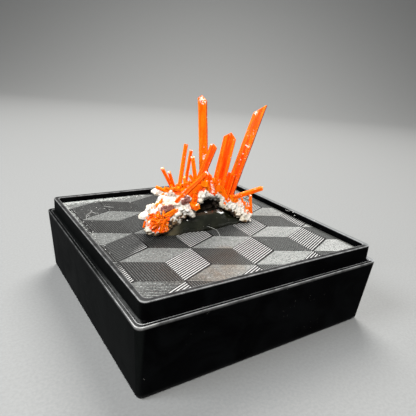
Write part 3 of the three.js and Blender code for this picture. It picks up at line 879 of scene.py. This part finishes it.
def puttyMaterial():
    maker = Maker("olivePutty")
    cloud = maker.noise(0.35, 3, 0.55)
    tone = maker.mix(maker.between(cloud, 0.35, 0.7), puttyLook["dark"], puttyLook["pale"])
    # painted sheen: a brown line along the top of the putty where it bulges; behind it, under the arch, the
    # top is painted near black as painted shade
    rim = maker.along("Z", 16.3, 16.75)
    tone = maker.mix(maker.times(rim, 0.6), tone, puttyLook["rim"])
    tone = maker.mix(maker.times(maker.along("Y", -1.75, -1.35), rim), tone, puttyLook["inside"])
    # lighter and tan towards the left
    tone = maker.mix(maker.times(maker.along("X", -5.2, -8.0), 0.8), tone, puttyLook["left"])
    specks = maker.between(maker.noise(3.2, 2, 0.5), 0.72, 0.77)
    maker.colour(maker.mix(maker.times(specks, 0.6), tone, puttyLook["specks"]))
    maker.rough(maker.between(cloud, 0.3, 0.75, 0.10, 0.26))
    maker.bump(maker.noise(2.2, 3, 0.6), 0.03, 0.3)
    maker.set(Specular_IOR_Level=0.6)
    return maker.material


def pressFlat(verts, near, facing, halves):      # a flat spot pressed into the skin, as by a thumb nail
    facing = Vector(facing).normalized()
    level = Vector((0, 0, 1)).cross(facing).normalized()
    axes = (level, facing.cross(level), facing)
    place = min((v.co for v in verts), key=lambda co: (co - Vector(near)).length).copy()
    for vert in verts:
        away = vert.co - place
        share = 1.0 - sum((away.dot(axis) / half) ** 2 for axis, half in zip(axes, halves))
        if share > 0:
            vert.co -= facing * away.dot(facing) * min(1.0, share * 1.8)


def makePutty():
    skin = hollowed(remeshed(ellipsoids(puttyMounds, 4), puttyLook["voxel"]), puttyDents)
    skin = remeshed(skin, puttyLook["voxel"])
    bottom = panelHigh.z + 0.02
    cutAway(skin, (0, 0, bottom), (0, 0, -1), 1e-4)
    bmesh.ops.holes_fill(skin, edges=[e for e in skin.edges if e.is_boundary], sides=0)
    free = [v for v in skin.verts if v.co.z > bottom + 0.05]
    relaxed(skin, free, puttyLook["smooth"])
    skin.normal_update()
    for vert in free:
        vert.co += vert.normal * noise.noise(vert.co * 0.6 + Vector((2, 9, 4))) * puttyLook["wave"]
    pressFlat(free, *puttyLook["flat"])
    pieceFrom(skin, "puttyMound", [puttyMaterial()], "putty", ["mounting_putty"], smooth=50)


makePutty()


crocoiteLook = {              # the clear and the deep tone of each kind, then the tones that both have
    "orangeCrocoite": ((0.83, 0.132, 0.001), (0.76, 0.052, 0.0003)),
    "redCrocoite": ((0.76, 0.106, 0.001), (0.64, 0.036, 0.0002)),
    "deepest": (0.45, 0.020, 0.0003), "paleStreak": (0.86, 0.19, 0.003), "edge": (0.92, 0.25, 0.008),
    "frost": (0.90, 0.72, 0.62),
}


def crocoiteMaterial(name):
    clear, deep = crocoiteLook[name]
    maker = Maker(name)
    grain = maker.attribute("grain", "Vector")
    streaks = maker.noise(1.0, 2, 0.5, maker.scaled(grain, (2.2, 2.2, 0.12)))
    clouds = maker.noise(0.7, 3, 0.55, maker.scaled(grain, (1.0, 1.0, 0.5)))
    depth = maker.plus(maker.attribute("tint"), maker.times(clouds, 0.8))
    tone = maker.mix(maker.between(depth, 0.15, 1.15), clear, deep)
    tone = maker.mix(maker.between(depth, 1.5, 2.4), tone, crocoiteLook["deepest"])
    tone = maker.mix(maker.between(streaks, 0.54, 0.72, 0.0, 0.65), tone, shade(deep, 0.6))
    tone = maker.mix(maker.between(streaks, 0.46, 0.34, 0.0, 0.45), tone, crocoiteLook["paleStreak"])
    # the edges are painted lighter, a painted highlight for light shining through the crystal's edges
    tone = maker.mix(maker.times(maker.attribute("edge"), 0.3), tone, crocoiteLook["edge"])
    # white frost where the points are marked for it, and specks in some places
    frostNoise = maker.noise(3.6, 4, 0.7, grain)
    marked = maker.plus(frostNoise, maker.times(maker.attribute("frost"), 0.36))
    frost = maker.between(marked, 0.76, 0.82)
    zone = maker.between(maker.noise(0.5, 2, 0.5, grain), 0.50, 0.62)
    specks = maker.times(maker.between(maker.noise(3.0, 2, 0.5, grain), 0.68, 0.71), zone)
    white = maker.times(maker.maths("MAXIMUM", frost, specks), 0.85)
    maker.colour(maker.mix(white, tone, crocoiteLook["frost"]))
    maker.set(
        Transmission_Weight=0.05, IOR=1.6, Specular_IOR_Level=0.035, Subsurface_Weight=0.5,
        Subsurface_Scale=0.9 * mm, Subsurface_Radius=(1.0, 0.5, 0.1))
    maker.rough(maker.between(frostNoise, 0.35, 0.7, 0.22, 0.38))
    maker.bump(streaks, 0.04, 0.5)
    return maker.material


crocoite = {"crocoite": crocoiteMaterial("orangeCrocoite"), "crocoite_red": crocoiteMaterial("redCrocoite")}

prismLook = {                 # chamfer: share of the thickness off two long edges; cold: frost at the tip
    "striae": 4, "lengthStep": 0.8, "ridgeDepth": 0.05, "sway": 0.035, "chamfer": 0.16, "cold": 0.8,
    "frostDepth": 0.5, "mostFrost": 0.85,
}


def striate(part, across, thick, length, corner, rnd):      # shallow lines along it; its edges are marked
    level = [e for e in part.edges
             if abs(e.verts[0].co.z - e.verts[1].co.z) < 1e-5 and e.calc_length() > corner * 2]
    bmesh.ops.subdivide_edges(part, edges=level, cuts=prismLook["striae"], use_grid_fill=False)
    # the edges are marked for a painted highlight
    edges = part.verts.layers.float["edge"]
    for vert in part.verts:
        nearX = across / 2 - abs(vert.co.x)
        nearY = thick / 2 - abs(vert.co.y)
        vert[edges] = 1.0 if max(nearX, nearY) < corner * 1.1 else 0.0
    upright = uprightEdges(part, length * 0.9)
    cuts = int(length / prismLook["lengthStep"])
    bmesh.ops.subdivide_edges(part, edges=upright, cuts=cuts, use_grid_fill=False)
    seed = Vector((rnd.uniform(0, 50), rnd.uniform(0, 50), 0))
    for vert in part.verts:
        out = Vector((vert.co.x, vert.co.y, 0))
        push = abs(noise.noise(out * 3.1 + seed)) * prismLook["ridgeDepth"]
        push += noise.noise((out + Vector((0, 0, vert.co.z * 0.35))) * 1.3 + seed) * prismLook["sway"]
        vert.co -= out.normalized() * push


def cutEnd(part, place, compass, slope):
    normal = Vector((0, 0, 1))
    normal.rotate(Quaternion((0, 1, 0), math.radians(slope)))
    normal.rotate(Quaternion((0, 0, 1), math.radians(compass)))
    cut = cutAway(part, place, normal)
    cutEdges = sortOut(cut, bmesh.types.BMEdge)
    if cutEdges:
        bmesh.ops.holes_fill(part, edges=cutEdges, sides=0)
        for vert in sortOut(cut, bmesh.types.BMVert):
            vert[part.verts.layers.float["edge"]] = 0.8


# ends: compass, slope and drop of each end face
def addPrism(bm, foot, tip, across, thick, turn, ends, rnd, tint, cold, fine=True, frost=(),
             chamfer=prismLook["chamfer"]):
    foot, tip = Vector(foot), Vector(tip)
    length = (tip - foot).length
    part = bmesh.new()
    blockOn(part, (across, thick, length), 0)
    corner = min(across, thick) * chamfer
    diagonal = [e for e in uprightEdges(part, length * 0.9) if e.verts[0].co.x * e.verts[0].co.y > 0]
    bevelled(part, diagonal, corner, 1)
    edges = part.verts.layers.float.new("edge")
    for vert in part.verts:
        vert[edges] = 1.0
    if fine:
        striate(part, across, thick, length, corner, rnd)
    for compass, slope, drop in ends:
        cutEnd(part, (0, 0, length - drop), compass - turn, slope)
    bmesh.ops.recalc_face_normals(part, faces=part.faces)
    grain = part.verts.layers.float_vector.new("grain")
    tints = part.verts.layers.float.new("tint")
    frosts = part.verts.layers.float.new("frost")
    drift = Vector((rnd.uniform(0, 40), rnd.uniform(0, 40), rnd.uniform(0, 40)))
    spin = leaned(foot, tip) @ Quaternion((0, 0, 1), math.radians(turn))
    place = Matrix.LocRotScale(foot, spin, Vector((1, 1, 1)))
    for vert in part.verts:
        vert[grain] = vert.co + drift
        vert[tints] = tint
        world = place @ vert.co
        white = cold * (1.0 - (length - vert.co.z) / prismLook["frostDepth"])
        for x, y, z, reach in frost:
            white = max(white, 1.4 - (world - Vector((x, y, z))).length / reach)
        vert[frosts] = max(0.0, min(prismLook["mostFrost"], white))
    addTo(bm, part, place)


frontTurn = -34               # a prism turned by this much shows a broad face towards the front corner


def flat(drop=0.0):           # an end face that is all but square
    return [(-frontTurn, 3, drop)]


# prisms: foot, tip, across, thick, turn, end faces (compass, slope, drop), tint; turn and compass count from
# frontTurn. frost: white chips and specks (x, y, z, reach)
crystals = {
    "crystal_tall_left": {"slot": "crocoite", "prisms": [
        ((1.6, 1.9, 18.4), (0.4, 3.2, 37.0), 1.5, 1.3, -12, [(180, 30, 0.1), (0, 48, 0.25)], 0.25),
    ], "frost": [
        (0.2, 2.6, 36.1, 0.9), (0.8, 2.9, 36.8, 0.6), (-0.3, 2.3, 31.5, 0.4), (0.7, 1.8, 26.2, 0.9),
        (1.2, 1.8, 25.0, 0.8), (1.3, 2.5, 33.3, 0.5), (0.9, 1.7, 23.8, 0.8), (0.0, 2.2, 29.4, 0.35),
    ]},
    "crystal_broad": {"slot": "crocoite_red", "cold": 0.0, "chamfer": 0.38, "prisms": [
        ((2.65, -0.29, 19.3), (5.5, 0.6, 30.7), 2.35, 1.5, -8, [(180, 40, 0.05), (0, 43, 0.05)], 0.55),
    ]},
    "crystal_tall_right": {"slot": "crocoite", "cold": 0.25, "prisms": [
        ((6.2, 1.1, 17.4), (13.7, 2.6, 35.7), 1.9, 1.5, -14, [(180, 50, 1.1)], 0.5),
        ((5.1, 0.5, 17.4), (6.9, 0.85, 23.0), 1.5, 1.4, -20, flat(0.2), 0.8),
    ], "frost": [
        (11.8, 2.1, 34.2, 0.85), (12.9, 2.4, 35.0, 0.5), (14.0, 2.6, 35.8, 0.5), (10.3, 1.4, 27.9, 0.6),
        (9.3, 1.2, 26.7, 0.5), (7.9, 0.8, 22.0, 0.4), (7.2, 0.8, 23.4, 0.3),
    ]},
    "crystal_short_middle": {"slot": "crocoite_red", "prisms": [
        ((-2.6, -0.6, 19.5), (1.5, -0.3, 28.9), 1.25, 1.1, -12, [(180, 20, 0.1), (0, 30, 0.2)], 0.75),
    ], "frost": [
        (2.0, -0.3, 28.6, 0.5), (0.8, -0.3, 28.8, 0.4),
    ]},
    "crystal_diagonal": {"slot": "crocoite_red", "cold": 0.1, "prisms": [
        ((-6.9, -2.2, 19.5), (-1.1, -2.1, 24.3), 0.66, 0.66, 8, flat(0.1), 1.1),
    ], "frost": [
        (-1.5, -2.2, 23.3, 0.35),
    ]},
    "crystal_back_left_1": {"slot": "crocoite", "prisms": [
        ((-4.0, 2.2, 18.6), (-2.3, 3.2, 28.3), 0.68, 0.6, -10, flat(), 0.15),
    ]},
    "crystal_back_left_2": {"slot": "crocoite", "prisms": [
        ((-3.1, 1.9, 18.6), (-1.7, 2.3, 27.4), 0.58, 0.5, 10, flat(), 0.3),
    ]},
    "crystal_back_left_3": {"slot": "crocoite", "prisms": [
        ((-0.5, 1.2, 19.6), (-2.0, 1.2, 26.4), 0.7, 0.6, 0, flat(), 0.1),
    ]},
    "crystal_pair_left": {"slot": "crocoite", "prisms": [
        ((-3.9, 3.1, 18.9), (-7.3, 2.4, 24.4), 0.55, 0.5, 0, flat(), 0.2),
        ((-3.8, 2.9, 18.8), (-6.0, 2.2, 23.7), 0.5, 0.42, -10, flat(), 0.1),
    ]},
    "crystal_low_right": {"slot": "crocoite", "prisms": [
        ((5.7, -0.9, 18.5), (14.8, 1.0, 19.1), 0.78, 0.65, 44, flat(), 0.15),
    ], "frost": [
        (14.5, 0.9, 19.4, 0.5), (12.6, 0.5, 19.3, 0.35), (9.6, 0.0, 19.0, 0.45), (7.4, -0.5, 18.9, 0.5),
    ]},
    "crystal_pair_right": {"slot": "crocoite", "prisms": [
        ((11.1, -0.9, 14.7), (10.5, -0.8, 18.6), 0.55, 0.5, 0, flat(), 0.2),
        ((10.75, -1.1, 14.2), (10.15, -1.1, 16.5), 0.55, 0.5, 0, flat(), 0.3),
    ]},
    "crystal_crossing": {"slot": "crocoite", "cold": 0.3, "prisms": [
        ((4.3, -1.5, 18.8), (2.5, -1.15, 21.3), 0.95, 0.6, 4, flat(), -0.4),
    ]},
    "crystal_block": {"slot": "crocoite_red", "cold": 0.2, "prisms": [
        ((-3.9, -1.1, 18.7), (-3.6, -4.1, 18.9), 1.15, 1.05, 54, flat(), -0.2),
    ], "frost": [
        (-3.6, -3.9, 19.4, 0.6),
    ]},
    "crystal_wedge": {"slot": "crocoite", "prisms": [
        ((1.0, -1.8, 19.9), (-0.5, -1.8, 24.4), 1.05, 0.7, 0, [(0, 55, 0.3)], 0.55),
    ], "frost": [
        (-0.5, -2.0, 24.1, 0.5), (0.1, -2.1, 23.2, 0.4), (0.3, -2.1, 22.4, 0.5), (0.5, -2.1, 21.6, 0.55),
        (0.8, -2.1, 20.8, 0.5),
    ]},
}

lathLook = {                  # thin growths along the crystals whose size is between the two of "hosts"
    "hosts": (1.2, 2), "count": 3, "share": (0.25, 0.5), "depth": 0.16, "proud": 0.015, "reach": (0.4, 0.8),
}


def addLaths(bm, foot, tip, across, thick, turn, tint, rnd):
    foot, tip = Vector(foot), Vector(tip)
    depth = lathLook["depth"]
    out = lathLook["proud"] - depth / 2
    spin = leaned(foot, tip) @ Quaternion((0, 0, 1), math.radians(turn))
    for i in range(lathLook["count"]):
        width = across * rnd.uniform(*lathLook["share"])
        slide = rnd.uniform(-0.5, 0.5) * (across - width)
        side = 1 if i % 2 else -1
        if i % 4 < 2:
            offset = Vector((slide, side * (thick / 2 + out), 0))
            size = (width, depth)
        else:
            offset = Vector((side * (across / 2 + out), slide * (thick / across), 0))
            size = (depth, width * (thick / across))
        reach = rnd.uniform(*lathLook["reach"])
        start = foot + spin @ offset
        end = start + (tip - foot) * reach
        addPrism(bm, start, end, *size, turn, [(rnd.uniform(0, 360), rnd.uniform(10, 50), 0.05)], rnd,
                 tint + rnd.uniform(-0.05, 0.08), 0.0, fine=False)


def makeCrystals():
    rnd = random.Random(11)
    for node, look in crystals.items():
        bm = bmesh.new()
        for foot, tip, across, thick, turn, ends, tint in look["prisms"]:
            turn += frontTurn
            ends = [(frontTurn + compass, slope, drop) for compass, slope, drop in ends]
            addPrism(bm, foot, tip, across, thick, turn, ends, rnd, tint, look.get("cold", prismLook["cold"]),
                     frost=look.get("frost", ()), chamfer=look.get("chamfer", prismLook["chamfer"]))
            if lathLook["hosts"][0] < across < lathLook["hosts"][1]:
                addLaths(bm, foot, tip, across, thick, turn, tint, rnd)
        pieceFrom(bm, node + "_fine", [crocoite[look["slot"]]], look["slot"], [node])


makeCrystals()


# small crystals that grow out of the crust
needleBeds = {                # centre, spread, outward lean, how many, length, size across, tint
    "lobeNeedles": [
        ((-10.0, -1.4, 18.5), (0.8, 0.5, 0.3), (-0.3, -0.5, 0.8), 8, (0.5, 0.9), (0.2, 0.36), (0.0, 0.5)),
        ((-11.2, -2.9, 17.0), (0.5, 0.2, 0.4), (-0.6, -0.4, 0.2), 8, (0.5, 0.9), (0.14, 0.26), (0.2, 0.9)),
    ],
    "shelfNeedles": [
        ((-6.2, 1.9, 20.3), (1.2, 0.7, 0.3), (-0.5, -0.3, 0.8), 10, (0.7, 1.5), (0.2, 0.4), (0.0, 0.5)),
        ((-4.3, 2.1, 20.4), (1.1, 0.8, 0.4), (-0.1, -0.3, 1.0), 20, (0.7, 2.0), (0.25, 0.5), (0.0, 0.4)),
        ((-2.4, 1.4, 21.0), (0.9, 0.7, 0.4), (0.1, -0.3, 1.0), 18, (0.8, 2.2), (0.3, 0.6), (0.1, 0.6)),
    ],
    "centreNeedles": [
        ((0.2, -1.0, 21.4), (1.2, 0.4, 0.5), (0.1, -0.2, 1.0), 14, (0.8, 1.9), (0.3, 0.6), (0.2, 0.9)),
        ((-3.0, -1.8, 20.4), (0.8, 0.3, 0.7), (-0.5, -0.2, 0.8), 12, (1.0, 2.0), (0.4, 0.7), (0.7, 1.2)),
        ((3.0, -1.1, 20.3), (1.0, 0.3, 0.4), (0.2, -0.4, 0.9), 12, (0.6, 1.4), (0.25, 0.5), (0.0, 0.6)),
    ],
    "slopeNeedles": [
        ((6.0, -0.9, 18.2), (1.0, 0.4, 0.4), (0.3, -0.4, 0.9), 10, (0.6, 1.6), (0.35, 0.7), (0.0, 0.5)),
        ((9.2, -0.5, 16.6), (0.9, 0.6, 0.6), (0.0, -0.2, 1.0), 14, (0.8, 1.7), (0.18, 0.36), (0.0, 0.4)),
    ],
    "backNeedles": [
        ((-2.0, 4.6, 18.4), (4.5, 0.9, 0.9), (0.0, 0.9, 0.7), 30, (0.7, 2.0), (0.3, 0.7), (0.0, 0.8)),
        ((5.0, 4.3, 17.4), (2.6, 0.7, 0.7), (0.3, 0.8, 0.7), 18, (0.6, 1.7), (0.3, 0.6), (0.0, 0.8)),
    ],
}

needleRows = {                # single crystals: foot, tip, size across, tint and, for some, a turn
    "lobeNeedles": [
        ((-6.6, -2.7, 18.4), (-9.2, -3.1, 17.5), 0.3, 0.6),
        ((-6.7, -2.75, 18.1), (-9.0, -3.2, 17.1), 0.3, 0.9),
        ((-7.1, -2.7, 18.5), (-9.6, -3.1, 17.7), 0.26, 0.2),
        ((-7.4, -2.9, 17.8), (-9.2, -3.2, 16.9), 0.26, 1.3),
        ((-6.9, -2.8, 18.3), (-8.6, -3.2, 17.5), 0.22, 1.6),
        ((-7.6, -2.8, 18.1), (-9.0, -3.2, 17.6), 0.2, 0.0),
        ((-10.3, -1.1, 18.5), (-9.4, -1.0, 19.3), 0.5, 0.1),
        ((-9.2, -0.9, 19.2), (-8.5, -0.6, 20.0), 0.5, 0.2),
        ((-9.1, -1.5, 18.9), (-8.3, -1.6, 18.9), 0.34, 0.0),
        ((-6.6, -2.6, 18.3), (-6.0, -2.9, 17.4), 0.42, 0.0),
        ((-12.5, -2.5, 17.0), (-12.85, -2.7, 15.9), 0.34, 2.0),
        ((-11.9, -1.9, 18.0), (-12.2, -2.4, 17.2), 0.35, 0.6),
        ((-11.2, -1.1, 18.0), (-11.4, -1.5, 18.9), 0.4, 0.3),
        ((-10.0, -2.2, 18.2), (-10.4, -2.8, 17.4), 0.4, 0.2),
        ((-8.9, -2.0, 18.5), (-9.3, -2.6, 17.6), 0.3, 0.2),
        ((-10.2, -1.3, 18.3), (-9.1, -1.2, 19.2), 0.36, 0.4),
        ((-9.7, -1.1, 18.8), (-8.8, -1.0, 19.8), 0.42, 0.0),
        ((-11.7, -1.5, 18.0), (-11.2, -1.5, 18.8), 0.32, 0.2),
        ((-11.3, -1.6, 18.1), (-10.8, -1.5, 19.0), 0.28, 0.1),
        ((-9.2, -1.7, 18.8), (-8.3, -1.6, 19.2), 0.34, 0.0),
    ],
    "shelfNeedles": [
        ((-8.8, 1.5, 21.4), (-7.3, 1.2, 20.7), 0.42, 0.0),
        ((-7.5, 1.1, 20.7), (-6.6, 1.0, 20.4), 0.36, 0.0), ((-7.8, 1.0, 19.9), (-7.7, 0.6, 20.4), 0.3, 0.4),
        ((-7.3, 1.0, 19.6), (-7.1, 0.6, 20.1), 0.36, 0.4), ((-6.6, 1.6, 20.4), (-7.2, 1.3, 21.2), 0.4, 0.0),
        ((-5.3, 1.6, 20.1), (-6.8, 1.5, 21.0), 0.5, 0.1), ((-4.4, 1.4, 20.3), (-5.8, 1.4, 21.0), 0.5, 0.1),
        ((-4.1, 1.2, 20.2), (-2.8, 1.4, 20.9), 0.55, 0.1),
        ((-8.7, -0.6, 18.6), (-8.4, -0.4, 19.7), 0.5, 0.2),
    ],
    "centreNeedles": [
        ((-4.1, -2.0, 19.0), (-1.6, -1.9, 22.6), 2.2, 0.9, 24),
        ((-3.6, -2.3, 18.8), (-2.9, -2.3, 20.9), 1.05, 1.15, 20),
        ((-1.4, -2.3, 21.9), (-1.25, -2.2, 23.1), 1.15, -0.6),
        ((-2.0, -2.1, 20.8), (-1.0, -1.9, 22.4), 1.1, 0.8),
        ((-3.9, -2.6, 19.0), (-3.3, -2.6, 20.2), 0.6, 1.2),
        ((0.3, -1.5, 20.4), (-0.7, -1.5, 23.5), 0.9, 0.0),
        ((1.7, -1.6, 20.2), (0.85, -1.6, 22.8), 0.8, 0.7),
        ((0.8, -1.3, 20.1), (0.65, -1.3, 22.9), 0.9, 0.9),
        ((1.7, -1.2, 20.2), (1.1, -1.2, 23.0), 0.55, 0.6), ((2.4, -1.2, 20.3), (2.8, -1.1, 22.6), 0.8, 0.4),
        ((0.1, -1.5, 20.6), (0.2, -1.4, 22.2), 0.5, 0.3), ((2.0, -0.6, 20.2), (1.0, -0.9, 21.9), 0.8, 0.5),
        ((2.1, -1.0, 20.3), (2.8, -0.8, 21.5), 0.8, 0.2), ((-1.3, 0.6, 21.5), (-2.7, 0.8, 23.3), 0.7, 0.1),
        ((-2.8, 1.5, 20.6), (-3.1, 1.7, 22.8), 0.7, 0.0),
    ],
    "slopeNeedles": [
        ((5.7, -0.8, 18.3), (7.4, -0.4, 17.6), 1.0, 0.2), ((9.6, 0.0, 16.2), (9.2, 0.2, 18.0), 0.45, 0.0),
        ((10.0, -0.6, 15.5), (9.5, -0.5, 16.9), 0.45, 0.0),
        ((10.2, -1.2, 15.1), (9.3, -1.2, 16.5), 0.45, 0.2),
        ((10.4, -1.5, 14.6), (9.5, -1.7, 16.1), 0.4, 0.1), ((7.9, -0.2, 17.1), (6.7, 0.0, 18.4), 0.9, 0.1),
        ((4.1, -1.6, 18.2), (3.5, -2.1, 17.9), 0.36, 0.3), ((7.1, -1.6, 17.2), (7.6, -2.0, 16.5), 0.3, 0.0),
        ((7.7, -1.4, 17.1), (8.3, -1.9, 16.3), 0.34, 0.2), ((8.1, -1.7, 16.3), (8.6, -2.2, 15.7), 0.3, 0.1),
        ((8.8, -1.5, 16.1), (9.3, -2.1, 15.3), 0.34, 0.1),
        ((9.5, -1.8, 15.2), (9.9, -2.3, 14.6), 0.28, 0.3),
    ],
}

# crystals that spread from one point: point, first and last angle in the fan's own plane, how many, inner and
# outer reach, size across, tint, share of white ones
fans = [
    ((-9.0, -2.9, 17.5), (172, 290), 120, (0.1, 1.0), (1.5, 2.9), (0.13, 0.22), (0.3, 1.5), 0.1),
    ((-9.0, -2.9, 17.5), (125, 168), 26, (0.2, 0.7), (1.0, 1.9), (0.12, 0.2), (-0.2, 0.8), 0.6),
]

fanFacing = Vector((-0.5, -0.82, 0.28)).normalized()      # the way the fans face

needleLook = {                # those broader than "broad" have striations and show their flat side
    "broad": 1.0, "thickness": 0.8, "thickest": 0.9, "cut": 0.2, "cold": 0.3, "white": 1.0, "lean": 0.45,
    "fanStart": (-0.02, 0.08), "fanEnd": (0.04, 0.2), "furthest": 1.3,
}


def needle(bm, foot, tip, across, tint, rnd, cold=needleLook["cold"], turned=0):
    ends = [(rnd.uniform(0, 360), rnd.uniform(0, 45), across * needleLook["cut"])]
    fine = across > needleLook["broad"]
    turn = frontTurn + turned + rnd.uniform(-5, 5) if fine else rnd.uniform(0, 90)
    thick = min(needleLook["thickest"], across * needleLook["thickness"])
    addPrism(bm, foot, tip, across, thick, turn, ends, rnd, tint, cold, fine=fine)


def onRock(point, proud):     # the spot on the rock in front of or behind a point, or nothing if it's far
    hit = rockSurface.ray_cast(point + fanFacing * 2.0, -fanFacing)[0]
    if hit is None or (hit - point).length > needleLook["furthest"]:
        return None
    return hit + fanFacing * proud


def addFans(bm, rnd):
    level = Vector((0, 0, 1)).cross(fanFacing).normalized()
    lift = fanFacing.cross(level)
    for point, angles, count, inner, outer, sizes, tints, whites in fans:
        for _ in range(count):
            angle = math.radians(rnd.uniform(*angles))
            way = level * math.cos(angle) + lift * math.sin(angle)
            start = onRock(Vector(point) + way * rnd.uniform(*inner), rnd.uniform(*needleLook["fanStart"]))
            end = onRock(Vector(point) + way * rnd.uniform(*outer), rnd.uniform(*needleLook["fanEnd"]))
            across, tint = rnd.uniform(*sizes), rnd.uniform(*tints)
            cold = needleLook["white" if rnd.random() < whites else "cold"]
            if start and end:
                needle(bm, start, end, across, tint, rnd, cold)


def makeNeedles():
    rnd = random.Random(29)
    for name, beds in needleBeds.items():
        bm = bmesh.new()
        for centre, spread, lean, count, lengths, sizes, tints in beds:
            for _ in range(count):
                middle = Vector([c + rnd.gauss(0, s * 0.5) for c, s in zip(centre, spread)])
                way = Vector([v + rnd.gauss(0, needleLook["lean"]) for v in lean]).normalized()
                half = way * rnd.uniform(*lengths) * 0.5
                needle(bm, middle - half, middle + half, rnd.uniform(*sizes), rnd.uniform(*tints), rnd)
        for foot, tip, across, tint, *turned in needleRows.get(name, ()):
            needle(bm, foot, tip, across, tint, rnd, turned=sum(turned))
        if name == "lobeNeedles":
            addFans(bm, rnd)
        pieceFrom(bm, name, [crocoite["crocoite"]], "crocoite")


makeNeedles()


dustLook = {
    "pale": (0.46, 0.46, 0.44), "dark": (0.26, 0.26, 0.25), "thread": 0.028, "fleck": 0.13,
    "clear": ((-14, 14), (-5, 6)),      # no grains fall here, under the specimen
}

dustBeds = {                  # low corner, high corner, how many grains, sizes
    "cornerDust": ((-20.0, 8.0), (-6.0, 20.0), 44, (0.03, 0.09)),
    "backDust": ((-20.0, 18.6), (-2.0, 20.0), 60, (0.05, 0.16)),
    "leftDust": ((-20.1, -6.0), (-19.1, 15.0), 34, (0.03, 0.09)),
    "strayDust": ((-19.0, -19.0), (19.0, 19.0), 50, (0.02, 0.06)),
}

flecks = [(20.62, -3.5, 14.0), (20.9, -8.6, 14.7), (20.64, -2.9, 14.5)]

lintThreads = [               # points of each thread
    [(-0.6, -3.0, 14.6), (0.4, -3.5, 14.2), (1.0, -4.0, 13.9), (0.8, -4.9, 13.75), (0.2, -6.2, 13.74)],
    [
        (-18.4, 9.7, 13.75), (-18.0, 11.4, 13.8), (-17.2, 12.4, 13.85), (-16.4, 12.9, 13.8),
        (-15.9, 12.0, 13.75),
    ],
    [(-17.9, 11.0, 13.75), (-16.6, 13.0, 13.8), (-16.0, 14.2, 13.75)],
    [(-13.2, 15.6, 13.75), (-12.4, 14.6, 13.8), (-11.6, 14.2, 13.75)],
    [
        (20.62, -0.6, 14.25), (20.64, -1.3, 14.2), (20.62, -1.8, 14.35), (20.66, -2.2, 14.6),
        (20.9, -2.5, 14.74),
    ],
    [(20.64, -0.9, 14.3), (20.62, -1.5, 14.28), (20.6, -1.9, 14.45)],
]


def dustMaterial():
    maker = Maker("paleDust")
    cloud = maker.between(maker.noise(3.0, 2, 0.5), 0.35, 0.65)
    maker.colour(maker.mix(cloud, dustLook["dark"], dustLook["pale"]))
    maker.set(Roughness=0.9, Specular_IOR_Level=0.2)
    return maker.material


def addGrain(bm, place, radius, stretch, turn=0.0):
    part = bmesh.new()
    bmesh.ops.create_icosphere(part, subdivisions=1, radius=radius)
    spin = Matrix.Rotation(turn, 4, "Z")
    addTo(bm, part, Matrix.Translation(place) @ spin @ Matrix.Diagonal((*stretch, 1)))


def addThread(bm, points):
    points = [Vector(p) for p in points]
    part = bmesh.new()
    bmesh.ops.create_circle(part, cap_ends=False, radius=dustLook["thread"], segments=5)
    ring = list(part.edges)
    bmesh.ops.contextual_create(part, geom=ring)
    way = (points[1] - points[0]).normalized()
    bmesh.ops.rotate(part, cent=(0, 0, 0), matrix=leaned(*points[:2]).to_matrix(), verts=part.verts)
    bmesh.ops.translate(part, vec=points[0], verts=part.verts)
    for i in range(1, len(points)):
        verts, ring = extruded(part, ring)
        bmesh.ops.translate(part, vec=points[i] - points[i - 1], verts=verts)
        after = (points[min(i + 1, len(points) - 1)] - points[i - 1]).normalized()
        bmesh.ops.rotate(part, cent=points[i], matrix=way.rotation_difference(after).to_matrix(), verts=verts)
        way = after
    bmesh.ops.contextual_create(part, geom=ring)
    bmesh.ops.recalc_face_normals(part, faces=part.faces)
    addTo(bm, part)


def makeDust():
    rnd = random.Random(3)
    bm = bmesh.new()
    (clearLeft, clearRight), (clearFront, clearBack) = dustLook["clear"]
    for (lowX, lowY), (highX, highY), count, sizes in dustBeds.values():
        for _ in range(count):
            x, y, r = rnd.uniform(lowX, highX), rnd.uniform(lowY, highY), rnd.uniform(*sizes)
            if clearLeft < x < clearRight and clearFront < y < clearBack:
                continue
            stretch = (rnd.uniform(0.6, 1.8), rnd.uniform(0.6, 1.4), rnd.uniform(0.5, 0.9))
            addGrain(bm, (x, y, panelHigh.z + r * 0.3), r, stretch, rnd.uniform(0, 3))
    for points in lintThreads:
        addThread(bm, points)
    for place in flecks:
        addGrain(bm, place, dustLook["fleck"], (1.4, 1.0, 0.6))
    pieceFrom(bm, "dustAndLint", [dustMaterial()], "matrix_crust")


makeDust()
